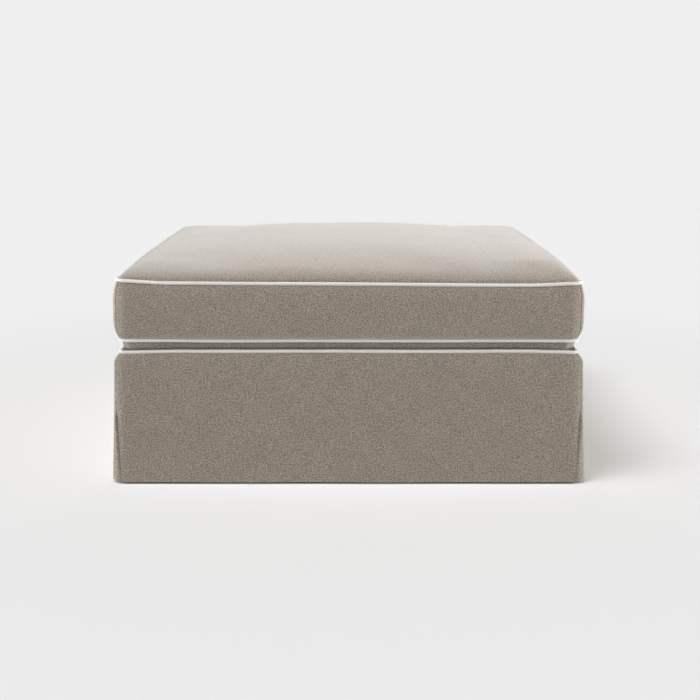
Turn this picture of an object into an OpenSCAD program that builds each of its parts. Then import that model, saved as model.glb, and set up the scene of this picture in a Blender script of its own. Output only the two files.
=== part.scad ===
// Slipcovered square ottoman: a timber frame on hidden feet under a loose cover
// whose skirt reaches the floor, and a loose box cushion with contrast piping.
// Units are millimetres. The origin is on the floor under the middle, +Z is up
// and the front faces -Y.

/* [Base] */
// Width of the covered base at its shoulder, side to side
base_w = 962; // [820:1:1100]
// Depth of the covered base at its shoulder, front to back
base_d = 962; // [820:1:1100]
// Height of the deck that the cushion lies on
base_h = 279; // [260:0.5:330]
// Radius of the base's corners seen from above
corner_r = 28; // [24:1:40]

/* [Cushion] */
// Width of the cushion across its bulging sides
cushion_w = 965; // [820:1:1100]
// Depth of the cushion across its bulging sides
cushion_d = 965; // [820:1:1100]
// Height of the boxing between the two piped seams
boxing_h = 118; // [100:1:170]
// How far the boxing bulges out past the upper seam
boxing_bulge = 12.5; // [8:0.5:18]
// How much further in the lower seam is drawn than the upper one
lower_draw_in = 3; // [0:0.5:6]
// Radius of the upper seam's corners seen from above
seam_r = 24; // [16:1:40]
// Height of the quick rise of the top panel beside its seam
crown_puff = 19; // [8:1:30]
// Height of the slow dome on top of that rise
crown_dome = 39.5; // [10:0.5:50]
// How far the bottom panel hangs below its seam
under_fullness = 18; // [8:0.1:24]
// Air between the cushion's underside and the deck
cushion_gap = 0.3; // [0.2:0.1:1]

/* [Cover] */
// Thickness of the cover fabric
fabric_t = 1.6; // [1:0.1:2.2]
// Diameter of the contrast piping
piping_d = 7; // [5:0.5:9]
// Height of the hem above the floor
hem_gap = 2.5; // [1.5:0.5:10]
// Depth of the turned hem
hem_depth = 20; // [12:1:30]
// How far the skirt stands out at the hem
skirt_flare = 10; // [5:0.5:16]
// Height of the rounded shoulder under the deck piping
shoulder_h = 36; // [28:1:44]
// How far the shoulder runs in before it meets the deck piping
shoulder_in = 10; // [8:0.5:16]
// Height of the corner kick pleats above the hem
pleat_h = 186; // [120:1:205]
// Half the opening of a kick pleat at the hem
pleat_open = 12.4; // [8:0.2:18]
// How far each pleat underlay reaches past its corner behind the skirt
underlay_reach = 45; // [25:1:80]

/* [Frame] */
// Height of the foot blocks
foot_h = 40; // [30:1:48]
// Width of the foot blocks
foot_w = 60; // [52:1:75]
// Thickness of the glides under the feet
glide_h = 5; // [3:0.5:7]
// Diameter of the glides
glide_d = 38; // [28:1:45]
// Thickness of the rails
rail_t = 22; // [18:1:28]
// Height of the rails
rail_h = 70; // [56:1:80]
// Width of the square corner posts
post_w = 40; // [34:1:50]
// Thickness of the boards that close the frame's sides
board_t = 5; // [3:0.5:8]
// Thickness of the wadding round the sides
wadding_t = 12; // [10:0.5:15]
// Thickness of the foam deck pad
deck_foam_t = 52; // [48:1:70]

/* [Springs] */
// Diameter of the spring wire
spring_wire_d = 3.8; // [3:0.1:4.4]
// Length of the straight bar between two bends
spring_bar = 24; // [16:1:34]
// Number of bends in each spring
spring_bends = 32; // [24:2:36]
// Distance between neighbouring springs
spring_pitch = 160; // [120:1:170]

/* [Zip] */
// Height of the slot between the two back boxing strips
zip_slot = 9; // [8.6:0.2:11]
// Width of the joined row of teeth
teeth_w = 5; // [4:0.2:5.4]
// Thickness of the row of teeth
teeth_t = 1.8; // [1.4:0.1:2]
// Length of the zip slider
slider_l = 12; // [11:0.5:16]
// Length of the slider's pull tab
pull_l = 26; // [20:1:36]

/* [Hidden] */

cover_colour = [0.56, 0.52, 0.47];
piping_colour = [0.80, 0.78, 0.76];
timber_colour = [0.80, 0.66, 0.46];
board_colour = [0.72, 0.58, 0.40];
metal_colour = [0.62, 0.63, 0.65];
foam_colour = [0.93, 0.89, 0.72];
wadding_colour = [0.95, 0.95, 0.93];
black_cloth = [0.10, 0.10, 0.11];

$fn = 48;
soft_gap = 0.2;      // air between two soft layers that are drawn curved
seat_gap = 0.05;     // air between a piping cord and the panels sewn to it
screw_fit = 0.05;    // air round a screw in its hole

pipe_r = piping_d / 2;
half_w = base_w / 2;
half_d = base_d / 2;

// Heights of the base
pipe_drop = 2.5;     // middle of the deck piping below the deck
frame_z0 = glide_h + foot_h;
frame_z1 = base_h - fabric_t - deck_foam_t;
pipe_z = base_h - pipe_drop;
shoulder_z = pipe_z - shoulder_h;

// The shoulder is one arc, tangent to the skirt and ending beside the piping
pipe_set = 3;        // middle of the deck piping past the end of the shoulder
pipe_clear = 0.35;   // air along the shoulder between the skirt's edge and the piping
shoulder_r = (shoulder_in * shoulder_in + shoulder_h * shoulder_h) / (2 * shoulder_in);
pipe_in = shoulder_in + pipe_set;
shoulder_end = atan2(shoulder_h, shoulder_r - pipe_in)
  - (pipe_r + pipe_clear) / shoulder_r * 180 / PI;

// Pleat underlays
underlay_up = 0.5;   // their hems above the skirt's
underlay_drop = 2;   // their upper edges below the top of the frame
underlay_air = 0.8;  // their hems behind the skirt's turned hem

// Plan sizes of the frame
wadding_in = 2 * (fabric_t + soft_gap);
wadding_w = half_w - wadding_in;
wadding_d = half_d - wadding_in;
board_w = wadding_w - wadding_t;
board_d = wadding_d - wadding_t;
frame_w = board_w - board_t;
frame_d = board_d - board_t;
rail_mid_w = frame_w - rail_t / 2;
rail_mid_d = frame_d - rail_t / 2;

// Frame screws
screw_d = 4.5;
screw_head_d = 9;
screw_head_h = 3;
screw_grip = 32;     // length of a frame screw in the rail behind the post
screw_l = post_w + screw_grip;
screw_up = rail_h * 0.29;
screw_low = rail_h * 0.12;
foot_screw_d = 6;
foot_screw_head_d = 12;
foot_screw_head_h = 4;
foot_screw_sink = 4;
foot_screw_grip = 28;
foot_screw_l = foot_h - foot_screw_sink + foot_screw_grip;

// Underside cloth
dust_t = 0.8;
staple_t = 0.7;
staple_in = 22;      // the outermost staples from the feet

// Springs
clip_t = 1;
clip_fit = 0.1;
clip_w = 12;
spring_step = round(2 * rail_mid_d / spring_bends * 50) / 50;
spring_end = spring_step * spring_bends / 2;
spring_z = frame_z1 + clip_t + spring_wire_d / 2 + clip_fit;
insulator_t = 2;
insulator_z = spring_z + spring_wire_d / 2;
insulator_over = 22; // how far the insulator reaches past the outer springs
insulator_in = 12;   // and how far its ends stay back from the springs' ends
spring_reach = 2 * spring_pitch + spring_bar / 2 + insulator_over;

// Cushion
low_z = base_h + cushion_gap + under_fullness + fabric_t / 2;
top_z = low_z + boxing_h;
mid_z = (low_z + top_z) / 2;
bulge_w = cushion_w / 2;
bulge_d = cushion_d / 2;
top_w = bulge_w - boxing_bulge;
top_d = bulge_d - boxing_bulge;
low_w = top_w - lower_draw_in;
low_d = top_d - lower_draw_in;
seat = pipe_r + seat_gap;
edge_power = 60;     // how sharply the top panel rises beside its seam
dome_power = 2.8;    // and how full the dome is above that
under_power = 40;    // how sharply the bottom panel drops
core_in = 30.5;
core_low = 2;
core_drop = 8;
core_z0 = low_z - core_low;
core_z1 = top_z - core_drop;
core_r = 30;

// Zip
zip_end_in = 92.5;   // each end of the zip from the cushion's side
zip_half = bulge_w - zip_end_in;
zip_y = bulge_d;
tape_t = 0.8;
tape_w = 13;
slider_gap = 0.3;
slider_t = 1.4;
slider_flange = 1.2;
slider_rest = 2;     // the slider from the stop when the zip is closed
slider_x = zip_half - slider_l / 2 - slider_rest;
slider_y = zip_y - fabric_t + teeth_t + slider_gap;
bridge_h = 3.4;
pull_rise = 1.1;     // the pull's axle above the slider's plate
pull_axis_y = slider_y + slider_t + pull_rise;

// Steps along each edge of the cushion: straight run first, then the corner arc
corner_share = PI / 4 * seam_r / (top_w - seam_r + PI / 4 * seam_r);
outer_step = 0.9;
edge_steps = [0, 0.3, 0.6, 0.8, outer_step, 1 - corner_share, 1 - corner_share / 2, 1];
along = concat([for (i = [len(edge_steps) - 1 : -1 : 1]) -edge_steps[i]], edge_steps);
last = len(along) - 1;
side_rows = [0, 0.06, 0.15, 0.25, 0.375, 0.625, 0.75, 0.85, 0.94, 1];

// Shared shapes

module at_corners(w, d) {
  for (sx = [-1, 1]) for (sy = [-1, 1]) translate([sx * w, sy * d, 0]) children();
}

// A flat rounded rectangle from its half sizes
module rounded_plan(hw, hd, r) {
  union() {
    square([2 * hw - 2 * r, 2 * hd], center = true);
    square([2 * hw, 2 * hd - 2 * r], center = true);
    at_corners(hw - r, hd - r) circle(r = r);
  }
}

module rounded_slab(hw, hd, r, z0, z1) {
  translate([0, 0, z0]) linear_extrude(z1 - z0) rounded_plan(hw, hd, r);
}

// A piping cord round a rounded rectangle, from the half sizes of its middle line
module piping_ring(hw, hd, r, z) {
  color(piping_colour) union() {
    for (s = [-1, 1]) {
      translate([-(hw - r), s * hd, z]) rotate([0, 90, 0])
        cylinder(r = pipe_r, h = 2 * (hw - r), $fn = 24);
      translate([s * hw, hd - r, z]) rotate([90, 0, 0])
        cylinder(r = pipe_r, h = 2 * (hd - r), $fn = 24);
    }
    for (q = [0 : 3])
      translate([(q == 0 || q == 3 ? 1 : -1) * (hw - r), (q < 2 ? 1 : -1) * (hd - r), z])
        rotate([0, 0, 90 * q])
          rotate_extrude(angle = 90) translate([r, 0]) circle(r = pipe_r, $fn = 24);
  }
}

// Turns a thing made for the front onto one of the four sides
module on_side(side) {
  rotate([0, 0, side * 90]) children();
}

// Timber frame

// A screw that points along +Z with the top of its head at the origin
module screw_solid(d, head_d, head_h, l) {
  union() {
    translate([0, 0, -l]) cylinder(d = d, h = l);
    translate([0, 0, -head_h]) cylinder(d = head_d, h = head_h);
  }
}

module screw_hole(d, head_d, head_h, l) {
  union() {
    translate([0, 0, -l - 0.5]) cylinder(d = d + 2 * screw_fit, h = l + 1);
    translate([0, 0, -head_h - screw_fit]) cylinder(d = head_d + 2 * screw_fit, h = head_h + 1);
  }
}

// Puts its child at each screw through the posts into the rails' ends
module at_frame_screws() {
  for (mid = [frame_z0 + rail_h / 2, frame_z1 - rail_h / 2])
    for (sx = [-1, 1]) for (sy = [-1, 1]) {
      for (dz = [screw_up, -screw_low])
        translate([sx * frame_w, sy * rail_mid_d, mid + dz])
          rotate([0, sx * 90, 0]) children();
      for (dz = [screw_low, -screw_up])
        translate([sx * rail_mid_w, sy * frame_d, mid + dz])
          rotate([-sy * 90, 0, 0]) children();
    }
}

module at_foot_screws() {
  at_corners(frame_w - foot_w / 2, frame_d - foot_w / 2)
    translate([0, 0, glide_h + foot_screw_sink]) rotate([180, 0, 0]) children();
}

module frame_holes() {
  at_frame_screws() screw_hole(screw_d, screw_head_d, screw_head_h, screw_l);
}

// A front or back rail between two posts
module long_rail(sy, z0) {
  color(timber_colour) difference() {
    translate([-(frame_w - post_w), sy > 0 ? frame_d - rail_t : -frame_d, z0])
      cube([2 * (frame_w - post_w), rail_t, rail_h]);
    frame_holes();
  }
}

// A left or right rail between two posts
module cross_rail(sx, z0) {
  color(timber_colour) difference() {
    translate([sx > 0 ? frame_w - rail_t : -frame_w, -(frame_d - post_w), z0])
      cube([rail_t, 2 * (frame_d - post_w), rail_h]);
    frame_holes();
  }
}

module corner_post(sx, sy) {
  color(timber_colour) difference() {
    translate([sx > 0 ? frame_w - post_w : -frame_w, sy > 0 ? frame_d - post_w : -frame_d, frame_z0])
      cube([post_w, post_w, frame_z1 - frame_z0]);
    frame_holes();
    at_foot_screws() screw_hole(foot_screw_d, foot_screw_head_d, foot_screw_head_h, foot_screw_l);
  }
}

module centre_stretcher() {
  color(timber_colour)
    translate([-rail_t / 2, -(frame_d - rail_t), frame_z0]) cube([rail_t, 2 * (frame_d - rail_t), rail_h]);
}

module frame_screws() {
  color(metal_colour) at_frame_screws() screw_solid(screw_d, screw_head_d, screw_head_h, screw_l);
}

module foot_screws() {
  color(metal_colour) at_foot_screws()
    screw_solid(foot_screw_d, foot_screw_head_d, foot_screw_head_h, foot_screw_l);
}

module front_board(sy) {
  color(board_colour)
    translate([-board_w, sy > 0 ? frame_d : -board_d, frame_z0])
      cube([2 * board_w, board_t, frame_z1 - frame_z0]);
}

module side_board(sx) {
  color(board_colour)
    translate([sx > 0 ? frame_w : -board_w, -frame_d, frame_z0])
      cube([board_t, 2 * frame_d, frame_z1 - frame_z0]);
}

module foot(sx, sy) {
  bevel = 3;
  color(timber_colour)
    translate([sx * (frame_w - foot_w / 2), sy * (frame_d - foot_w / 2), glide_h]) difference() {
      intersection() {
        foot_bar(bevel);
        rotate([0, 0, 90]) foot_bar(bevel);
      }
      translate([0, 0, foot_screw_sink]) rotate([180, 0, 0])
        screw_hole(foot_screw_d, foot_screw_head_d, foot_screw_head_h + 8, foot_screw_l);
      translate([0, 0, -1])
        cylinder(d = foot_screw_head_d + 2 * screw_fit, h = foot_screw_sink + 1);
    }
}

// A square bar along Y whose two lower edges are bevelled
module foot_bar(bevel) {
  h = foot_w / 2;
  rotate([90, 0, 0]) translate([0, 0, -h]) linear_extrude(foot_w)
    polygon([[-h + bevel, 0], [h - bevel, 0], [h, bevel], [h, foot_h], [-h, foot_h], [-h, bevel]]);
}

module foot_glides() {
  color([0.25, 0.25, 0.26]) at_corners(frame_w - foot_w / 2, frame_d - foot_w / 2)
    cylinder(d = glide_d, h = glide_h);
}

module dust_cover() {
  reach_w = board_w - 3;
  reach_d = board_d - 3;
  notch = foot_w + 3;
  color(black_cloth) translate([0, 0, frame_z0 - dust_t]) linear_extrude(dust_t) union() {
    square([2 * (frame_w - notch), 2 * reach_d], center = true);
    square([2 * reach_w, 2 * (frame_d - notch)], center = true);
  }
}

module staple() {
  wire_w = 1.2;
  crown_l = 11;
  leg = 6;
  union() {
    translate([-crown_l / 2, -wire_w / 2, -dust_t - staple_t]) cube([crown_l, wire_w, staple_t]);
    for (s = [-1, 1])
      translate([s * (crown_l - staple_t) / 2 - staple_t / 2, -wire_w / 2, -dust_t - staple_t])
        cube([staple_t, wire_w, staple_t + leg]);
  }
}

module dust_cover_staples() {
  run_w = 2 * (frame_w - foot_w - staple_in);
  run_d = 2 * (frame_d - foot_w - staple_in);
  color(metal_colour) for (i = [0 : 9]) for (s = [-1, 1]) {
    translate([run_w * (i / 9 - 0.5), s * rail_mid_d, frame_z0]) staple();
    translate([s * rail_mid_w, run_d * (i / 9 - 0.5), frame_z0]) rotate([0, 0, 90]) staple();
  }
}

// Springs and padding

// Half a turn of wire that joins the ends of two neighbouring bars
module spring_bend() {
  rotate([0, 0, -90]) rotate_extrude(angle = 180)
    translate([spring_step / 2, 0]) circle(d = spring_wire_d, $fn = 24);
}

// A flat zigzag of wire whose two end bars lie in clips on the front and back rails
module sinuous_spring(x) {
  color(metal_colour) translate([x, -spring_end, spring_z]) union() {
    for (i = [0 : spring_bends])
      translate([-spring_bar / 2, i * spring_step, 0]) rotate([0, 90, 0])
        cylinder(d = spring_wire_d, h = spring_bar, $fn = 24);
    for (i = [0 : spring_bends - 1])
      translate([(i % 2 == 0 ? 1 : -1) * spring_bar / 2, (i + 0.5) * spring_step, 0])
        rotate([0, 0, i % 2 == 0 ? 0 : 180]) spring_bend();
  }
}

// A folded metal strip that holds one spring end to the top of a rail
module spring_clip() {
  inner = spring_wire_d / 2 + clip_fit;
  outer = inner + clip_t;
  rotate([90, 0, 90]) translate([0, 0, -clip_w / 2]) linear_extrude(clip_w) union() {
    difference() {
      circle(r = outer);
      circle(r = inner);
      translate([0, -outer - 1]) square([outer + 1, outer + 1]);
    }
    translate([-outer - 4, -outer]) square([outer + 4, clip_t]);
  }
}

module spring_clips() {
  color(metal_colour) for (i = [-2 : 2]) for (s = [-1, 1])
    translate([i * spring_pitch, s * spring_end, spring_z])
      rotate([0, 0, s > 0 ? 180 : 0]) spring_clip();
}

module insulator_sheet() {
  reach_y = spring_end - insulator_in;
  color([0.45, 0.42, 0.38]) translate([-spring_reach, -reach_y, insulator_z])
    cube([2 * spring_reach, 2 * reach_y, insulator_t]);
}

// Half section of the deck pad's edge, from the corner's middle outwards
module foam_edge() {
  out = corner_r - fabric_t - soft_gap;
  intersection() {
    translate([0, frame_z1]) square([out, deck_foam_t]);
    union() {
      translate([0, frame_z1 - 1]) square([corner_r, shoulder_z - frame_z1 + 1]);
      translate([corner_r - shoulder_r, shoulder_z])
        circle(r = shoulder_r - fabric_t - soft_gap, $fn = 180);
    }
  }
}

// The four edges and corners that a half section makes round a rounded rectangle
module edge_ring(hw, hd, r) {
  for (side = [0 : 3]) on_side(side) {
    run = side % 2 == 0 ? hw - r : hd - r;
    out = side % 2 == 0 ? hd - r : hw - r;
    translate([run, -out, 0]) rotate([90, 0, -90]) linear_extrude(2 * run) children();
    translate([run, -out, 0]) rotate([0, 0, -90]) rotate_extrude(angle = 90) children();
  }
}

// The space under the deck pad for the springs, their clips and the insulator
module spring_recess() {
  reach_x = spring_reach + 4;
  reach_y = frame_d - 1;
  top = insulator_z + insulator_t - frame_z1;
  translate([-reach_x, -reach_y, frame_z1 - 1]) cube([2 * reach_x, 2 * reach_y, top + 1]);
}

module deck_foam() {
  color(foam_colour) difference() {
    union() {
      translate([-(half_w - corner_r), -(half_d - corner_r), frame_z1])
        cube([2 * (half_w - corner_r), 2 * (half_d - corner_r), deck_foam_t]);
      edge_ring(half_w, half_d, corner_r) difference() {
        foam_edge();
        translate([corner_r - pipe_in, pipe_z]) circle(r = pipe_r + soft_gap);
      }
    }
    spring_recess();
  }
}

module side_wadding() {
  r = corner_r - wadding_in;
  color(wadding_colour) difference() {
    rounded_slab(wadding_w, wadding_d, r, frame_z0, frame_z1);
    translate([-board_w, -board_d, frame_z0 - 1])
      cube([2 * board_w, 2 * board_d, frame_z1 - frame_z0 + 2]);
  }
}

// Slipcover of the base

module deck_panel() {
  in = pipe_in + seat;
  color(cover_colour)
    rounded_slab(half_w - in, half_d - in, corner_r - in, base_h - fabric_t, base_h);
}

// Section of the skirt: turned hem, sloping drop and rounded shoulder, which starts
// a little low so that it joins the drop
module skirt_section() {
  hem_out = corner_r + skirt_flare;
  drop = shoulder_z - hem_gap;
  hem_x = hem_out - skirt_flare * hem_depth / drop;
  union() {
    polygon([[hem_out - 2 * fabric_t, hem_gap], [hem_out, hem_gap], [corner_r, shoulder_z],
      [corner_r - fabric_t, shoulder_z], [hem_x - fabric_t, hem_gap + hem_depth],
      [hem_x - 2 * fabric_t, hem_gap + hem_depth]]);
    translate([corner_r - shoulder_r, shoulder_z]) intersection() {
      difference() {
        circle(r = shoulder_r, $fn = 180);
        circle(r = shoulder_r - fabric_t, $fn = 180);
      }
      polygon([[0, -1], [2 * shoulder_r, -1],
        [2 * shoulder_r, 2 * shoulder_r * tan(shoulder_end)], [0, 0]]);
    }
  }
}

// The V that a kick pleat opens at a corner, pointing up its seam
module pleat_opening(run, out) {
  reach = corner_r + skirt_flare + 10;
  wide = pleat_open * (pleat_h + 10) / pleat_h;
  translate([run, -out, hem_gap - 10]) rotate([0, 0, -45]) rotate([90, 0, 90])
    linear_extrude(reach) polygon([[-wide, 0], [wide, 0], [0, pleat_h + 10]]);
}

// The skirt panel of one side, from corner seam to corner seam
module skirt(side) {
  run = side % 2 == 0 ? half_w - corner_r : half_d - corner_r;
  out = side % 2 == 0 ? half_d - corner_r : half_w - corner_r;
  color(cover_colour) on_side(side) difference() {
    union() {
      translate([run, -out, 0]) rotate([90, 0, -90]) linear_extrude(2 * run) skirt_section();
      for (flip = [0, 1]) mirror([flip, 0, 0])
        translate([run, -out, 0]) rotate([0, 0, -90]) rotate_extrude(angle = 45) skirt_section();
    }
    for (flip = [0, 1]) mirror([flip, 0, 0]) pleat_opening(run, out);
  }
}

module underlay_section() {
  top_z1 = frame_z1 - underlay_drop;
  low_z0 = hem_gap + underlay_up;
  top_x = corner_r - fabric_t - soft_gap + skirt_flare * (shoulder_z - top_z1) / (shoulder_z - hem_gap);
  low_x = corner_r + skirt_flare - 2 * fabric_t - underlay_air;
  polygon([[low_x - fabric_t, low_z0], [low_x, low_z0], [top_x, top_z1], [top_x - fabric_t, top_z1]]);
}

// The flap sewn behind a corner seam, which shows where the kick pleat opens
module pleat_underlay(side) {
  run = side % 2 == 0 ? half_w - corner_r : half_d - corner_r;
  out = side % 2 == 0 ? half_d - corner_r : half_w - corner_r;
  color(cover_colour) on_side(side) translate([run, -out, 0]) union() {
    rotate([90, 0, -90]) linear_extrude(underlay_reach) underlay_section();
    rotate([0, 0, -90]) rotate_extrude(angle = 90) underlay_section();
    translate([0, underlay_reach, 0]) rotate([90, 0, 0]) linear_extrude(underlay_reach)
      underlay_section();
  }
}

// Cushion

// A point t, from -1 to 1, along one side of a rounded rectangle
function side_point(side, t, hw, hd, r) =
  let (
    hx = side % 2 == 0 ? hw : hd,
    hy = side % 2 == 0 ? hd : hw,
    straight = hx - r,
    d = abs(t) * (straight + r * PI / 4),
    turn = max(0, d - straight) / r * 180 / PI,
    x = (t < 0 ? -1 : 1) * (min(d, straight) + r * sin(turn)),
    y = -(hy - r) - r * cos(turn)
  )
  side == 0 ? [x, y] : side == 1 ? [-y, x] : side == 2 ? [-x, -y] : [y, -x];

// A point of a panel at u and v, both from -1 to 1
function panel_point(u, v, hw, hd, r) =
  let (m = max(abs(u), abs(v)))
  m == 0 ? [0, 0] :
  abs(v) >= abs(u)
    ? m * (v < 0 ? side_point(0, u / m, hw, hd, r) : side_point(2, -u / m, hw, hd, r))
    : m * (u > 0 ? side_point(1, v / m, hw, hd, r) : side_point(3, -v / m, hw, hd, r));

function edge_rise(u, v, power) = (1 - pow(abs(u), power)) * (1 - pow(abs(v), power));
function dome_rise(u, v) = (1 - pow(abs(u), dome_power)) * (1 - pow(abs(v), dome_power));

// Height of the top panel's middle layer above the upper seam, and of the bottom one's
function crown(u, v) = crown_puff * edge_rise(u, v, edge_power) + crown_dome * dome_rise(u, v);
function sag(u, v) = -under_fullness * edge_rise(u, v, under_power);

function top_layer(shift) = [
  for (v = along) for (u = along)
    concat(panel_point(u, v, top_w - seat, top_d - seat, seam_r - seat), top_z + shift + crown(u, v))
];
function low_layer(shift) = [
  for (v = along) for (u = along)
    concat(panel_point(u, v, low_w - seat, low_d - seat, seam_r - seat), low_z + shift + sag(u, v))
];

// How far the boxing's outer face stands in from its widest, at a share h of its height
function draw_in(h) =
  let (
    edge = h > 0.5 ? boxing_bulge : boxing_bulge + lower_draw_in,
    k = max(0, (abs(2 * h - 1) - 0.25) / 0.75)
  )
  (edge - fabric_t / 2) * k * k;
function row_z(h) = low_z + seat + h * (boxing_h - 2 * seat);

function side_layer(side, steps, rows, inward) = [
  for (h = rows) let (in = draw_in(h) + inward)
    for (t = steps)
      concat(side_point(side, t, bulge_w - in, bulge_d - in, seam_r + boxing_bulge - in), row_z(h))
];

// The triangles of one grid of nu by nv points, starting at point n
function grid_faces(n, nu, nv, flip = false) = [
  for (j = [0 : nv - 2]) for (i = [0 : nu - 2])
    let (a = n + j * nu + i, b = a + nu, c = b + 1, d = a + 1)
    for (f = [[a, b, c], [a, c, d]]) flip ? [f[2], f[1], f[0]] : f
];
// The closing strip between two lines of points that run the same way
function strip_faces(p, q) = [
  for (i = [0 : len(p) - 2])
    for (f = [[p[i], p[i + 1], q[i + 1]], [p[i], q[i + 1], q[i]]]) f
];

// A closed sheet between two grids of points, the outer one seen from outside
module sheet(outer, inner, nu, nv) {
  n = nu * nv;
  low = [for (i = [0 : nu - 1]) i];
  high = [for (i = [0 : nu - 1]) n - nu + i];
  start = [for (j = [0 : nv - 1]) j * nu];
  end = [for (j = [0 : nv - 1]) j * nu + nu - 1];
  polyhedron(
    points = concat(outer, inner),
    faces = concat(
      grid_faces(0, nu, nv),
      grid_faces(n, nu, nv, true),
      strip_faces(low, [for (i = low) i + n]),
      strip_faces([for (i = high) i + n], high),
      strip_faces([for (i = start) i + n], start),
      strip_faces(end, [for (i = end) i + n])
    ),
    convexity = 4
  );
}

module cushion_top_panel() {
  color(cover_colour)
    sheet(top_layer(fabric_t / 2), top_layer(-fabric_t / 2), len(along), len(along));
}

module cushion_bottom_panel() {
  color(cover_colour)
    sheet(low_layer(fabric_t / 2), low_layer(-fabric_t / 2), len(along), len(along));
}

module boxing(side) {
  color(cover_colour)
    sheet(side_layer(side, along, side_rows, 0), side_layer(side, along, side_rows, fabric_t),
      len(along), len(side_rows));
}

// One of the two back strips; they part along the zip and meet beyond its ends
function zip_step(x) = x / (bulge_w - seam_r - boxing_bulge + (seam_r + boxing_bulge) * PI / 4);
slot_over = 10;      // the full slot beyond the zip's ends
slot_taper = 14;     // and the length in which it closes after that
slot_step = zip_step(zip_half + slot_over);
zip_steps = [
  slot_step, zip_step(zip_half + slot_over + slot_taper), outer_step,
  1 - corner_share, 1 - corner_share / 2, 1
];
zip_along = concat([for (i = [len(zip_steps) - 1 : -1 : 0]) -zip_steps[i]], 0, zip_steps);
function zip_edge(t) = (abs(t) <= slot_step + 0.001 ? zip_slot : 0.1) / 2;

function strip_layer(up, inward) =
  let (rows = up ? [0.625, 0.75, 0.85, 0.94, 1] : [0, 0.06, 0.15, 0.25, 0.375])
  [
    for (k = up ? [-1 : 4] : [0 : 5])
      let (
        at_slot = up ? k < 0 : k > 4,
        in = (at_slot ? 0 : draw_in(rows[k])) + inward
      )
      for (t = zip_along)
        concat(
          side_point(2, t, bulge_w - in, bulge_d - in, seam_r + boxing_bulge - in),
          at_slot ? mid_z + (up ? 1 : -1) * zip_edge(t) : row_z(rows[k])
        )
  ];

module boxing_back(up) {
  color(cover_colour) sheet(strip_layer(up, 0), strip_layer(up, fabric_t), len(zip_along), 6);
}

// One ring of the cushion's filling, starting at the front left corner
function fill_ring(in, z) = [
  for (side = [0 : 3]) for (i = [0 : last - 1])
    concat(side_point(side, along[i], bulge_w - in, bulge_d - in, seam_r + boxing_bulge - in), z)
];

// The same walk round the edge of a panel's grid of points
edge_walk = let (n = last + 1) concat(
  [for (i = [0 : last - 1]) i],
  [for (j = [0 : last - 1]) j * n + last],
  [for (i = [last : -1 : 1]) last * n + i],
  [for (j = [last : -1 : 1]) j * n]
);

function ring_faces(upper, lower) = [
  for (i = [0 : len(upper) - 1])
    let (k = (i + 1) % len(upper))
    for (f = [[lower[i], upper[i], upper[k]], [lower[i], upper[k], lower[k]]]) f
];

module filling_body() {
  n = (last + 1) * (last + 1);
  m = 4 * last;
  rings = concat(
    [fill_ring(boxing_bulge + lower_draw_in + seat + 0.1, low_z + seat + 0.1)],
    [for (h = side_rows) fill_ring(draw_in(h) + fabric_t, row_z(h))],
    [fill_ring(boxing_bulge + seat + 0.1, top_z - seat - 0.1)]
  );
  walk = [for (k = [0 : len(rings) - 1]) [for (i = [0 : m - 1]) 2 * n + k * m + i]];
  polyhedron(
    points = concat(top_layer(-fabric_t / 2), low_layer(fabric_t / 2), [for (r = rings) each r]),
    faces = concat(
      grid_faces(0, last + 1, last + 1),
      grid_faces(n, last + 1, last + 1, true),
      ring_faces(walk[0], [for (i = edge_walk) i + n]),
      [for (k = [0 : len(rings) - 2]) each ring_faces(walk[k + 1], walk[k])],
      ring_faces(edge_walk, walk[len(rings) - 1])
    ),
    convexity = 4
  );
}

// Polyester fibre round the foam core, open at the back along the zip
module fibre_wrap() {
  slot_w = zip_half + 12;
  slot_h = tape_w + 1;
  color(wadding_colour) difference() {
    filling_body();
    rounded_slab(bulge_w - core_in, bulge_d - core_in, core_r, core_z0, core_z1);
    translate([-slot_w, bulge_d - core_in - 1, mid_z - slot_h])
      cube([2 * slot_w, core_in + 2, 2 * slot_h]);
  }
}

module foam_core() {
  color(foam_colour)
    rounded_slab(bulge_w - core_in, bulge_d - core_in, core_r, core_z0, core_z1);
}

// Zip

module zip_tapes() {
  reach = zip_half + 8;
  color([0.60, 0.57, 0.52]) for (s = [0, 1]) translate([0, 0, mid_z]) mirror([0, 0, s])
    translate([-reach, zip_y - fabric_t - tape_t, 0.4]) cube([2 * reach, tape_t, tape_w - 0.4]);
}

// The joined teeth with a stop at each end
module zip_teeth() {
  stop_l = 3;
  y = zip_y - fabric_t;
  color([0.66, 0.63, 0.58]) union() {
    translate([-zip_half, y, mid_z]) rotate([90, 0, 90]) linear_extrude(2 * zip_half)
      polygon([[0, -teeth_w / 2], [teeth_t - 0.5, -teeth_w / 2], [teeth_t, -teeth_w / 2 + 0.7],
        [teeth_t, teeth_w / 2 - 0.7], [teeth_t - 0.5, teeth_w / 2], [0, teeth_w / 2]]);
    for (s = [-1, 1])
      translate([s * (zip_half + stop_l / 2) - stop_l / 2, y, mid_z - teeth_w / 2 - 0.6])
        cube([stop_l, teeth_t + 0.8, teeth_w + 1.2]);
  }
}

module zip_slider() {
  out = teeth_w / 2 + slider_gap + slider_flange;
  slider_low = zip_y - fabric_t + slider_gap;
  foot_x = 1.2;
  bridge_w = 9.2;
  color(metal_colour) translate([slider_x, 0, mid_z]) union() {
    translate([-slider_l / 2, slider_y, -out]) cube([slider_l, slider_t, 2 * out]);
    for (s = [0, 1]) mirror([0, 0, s])
      translate([-slider_l / 2, slider_low, out - slider_flange])
        cube([slider_l, slider_y - slider_low + 0.5, slider_flange]);
    difference() {
      translate([-bridge_w / 2, slider_y + slider_t - 0.2, -1.2]) cube([bridge_w, bridge_h + 0.2, 2.4]);
      translate([-bridge_w / 2 + foot_x, slider_y + slider_t, -2]) cube([bridge_w - 2 * foot_x, 2.2, 4]);
    }
  }
}

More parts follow.
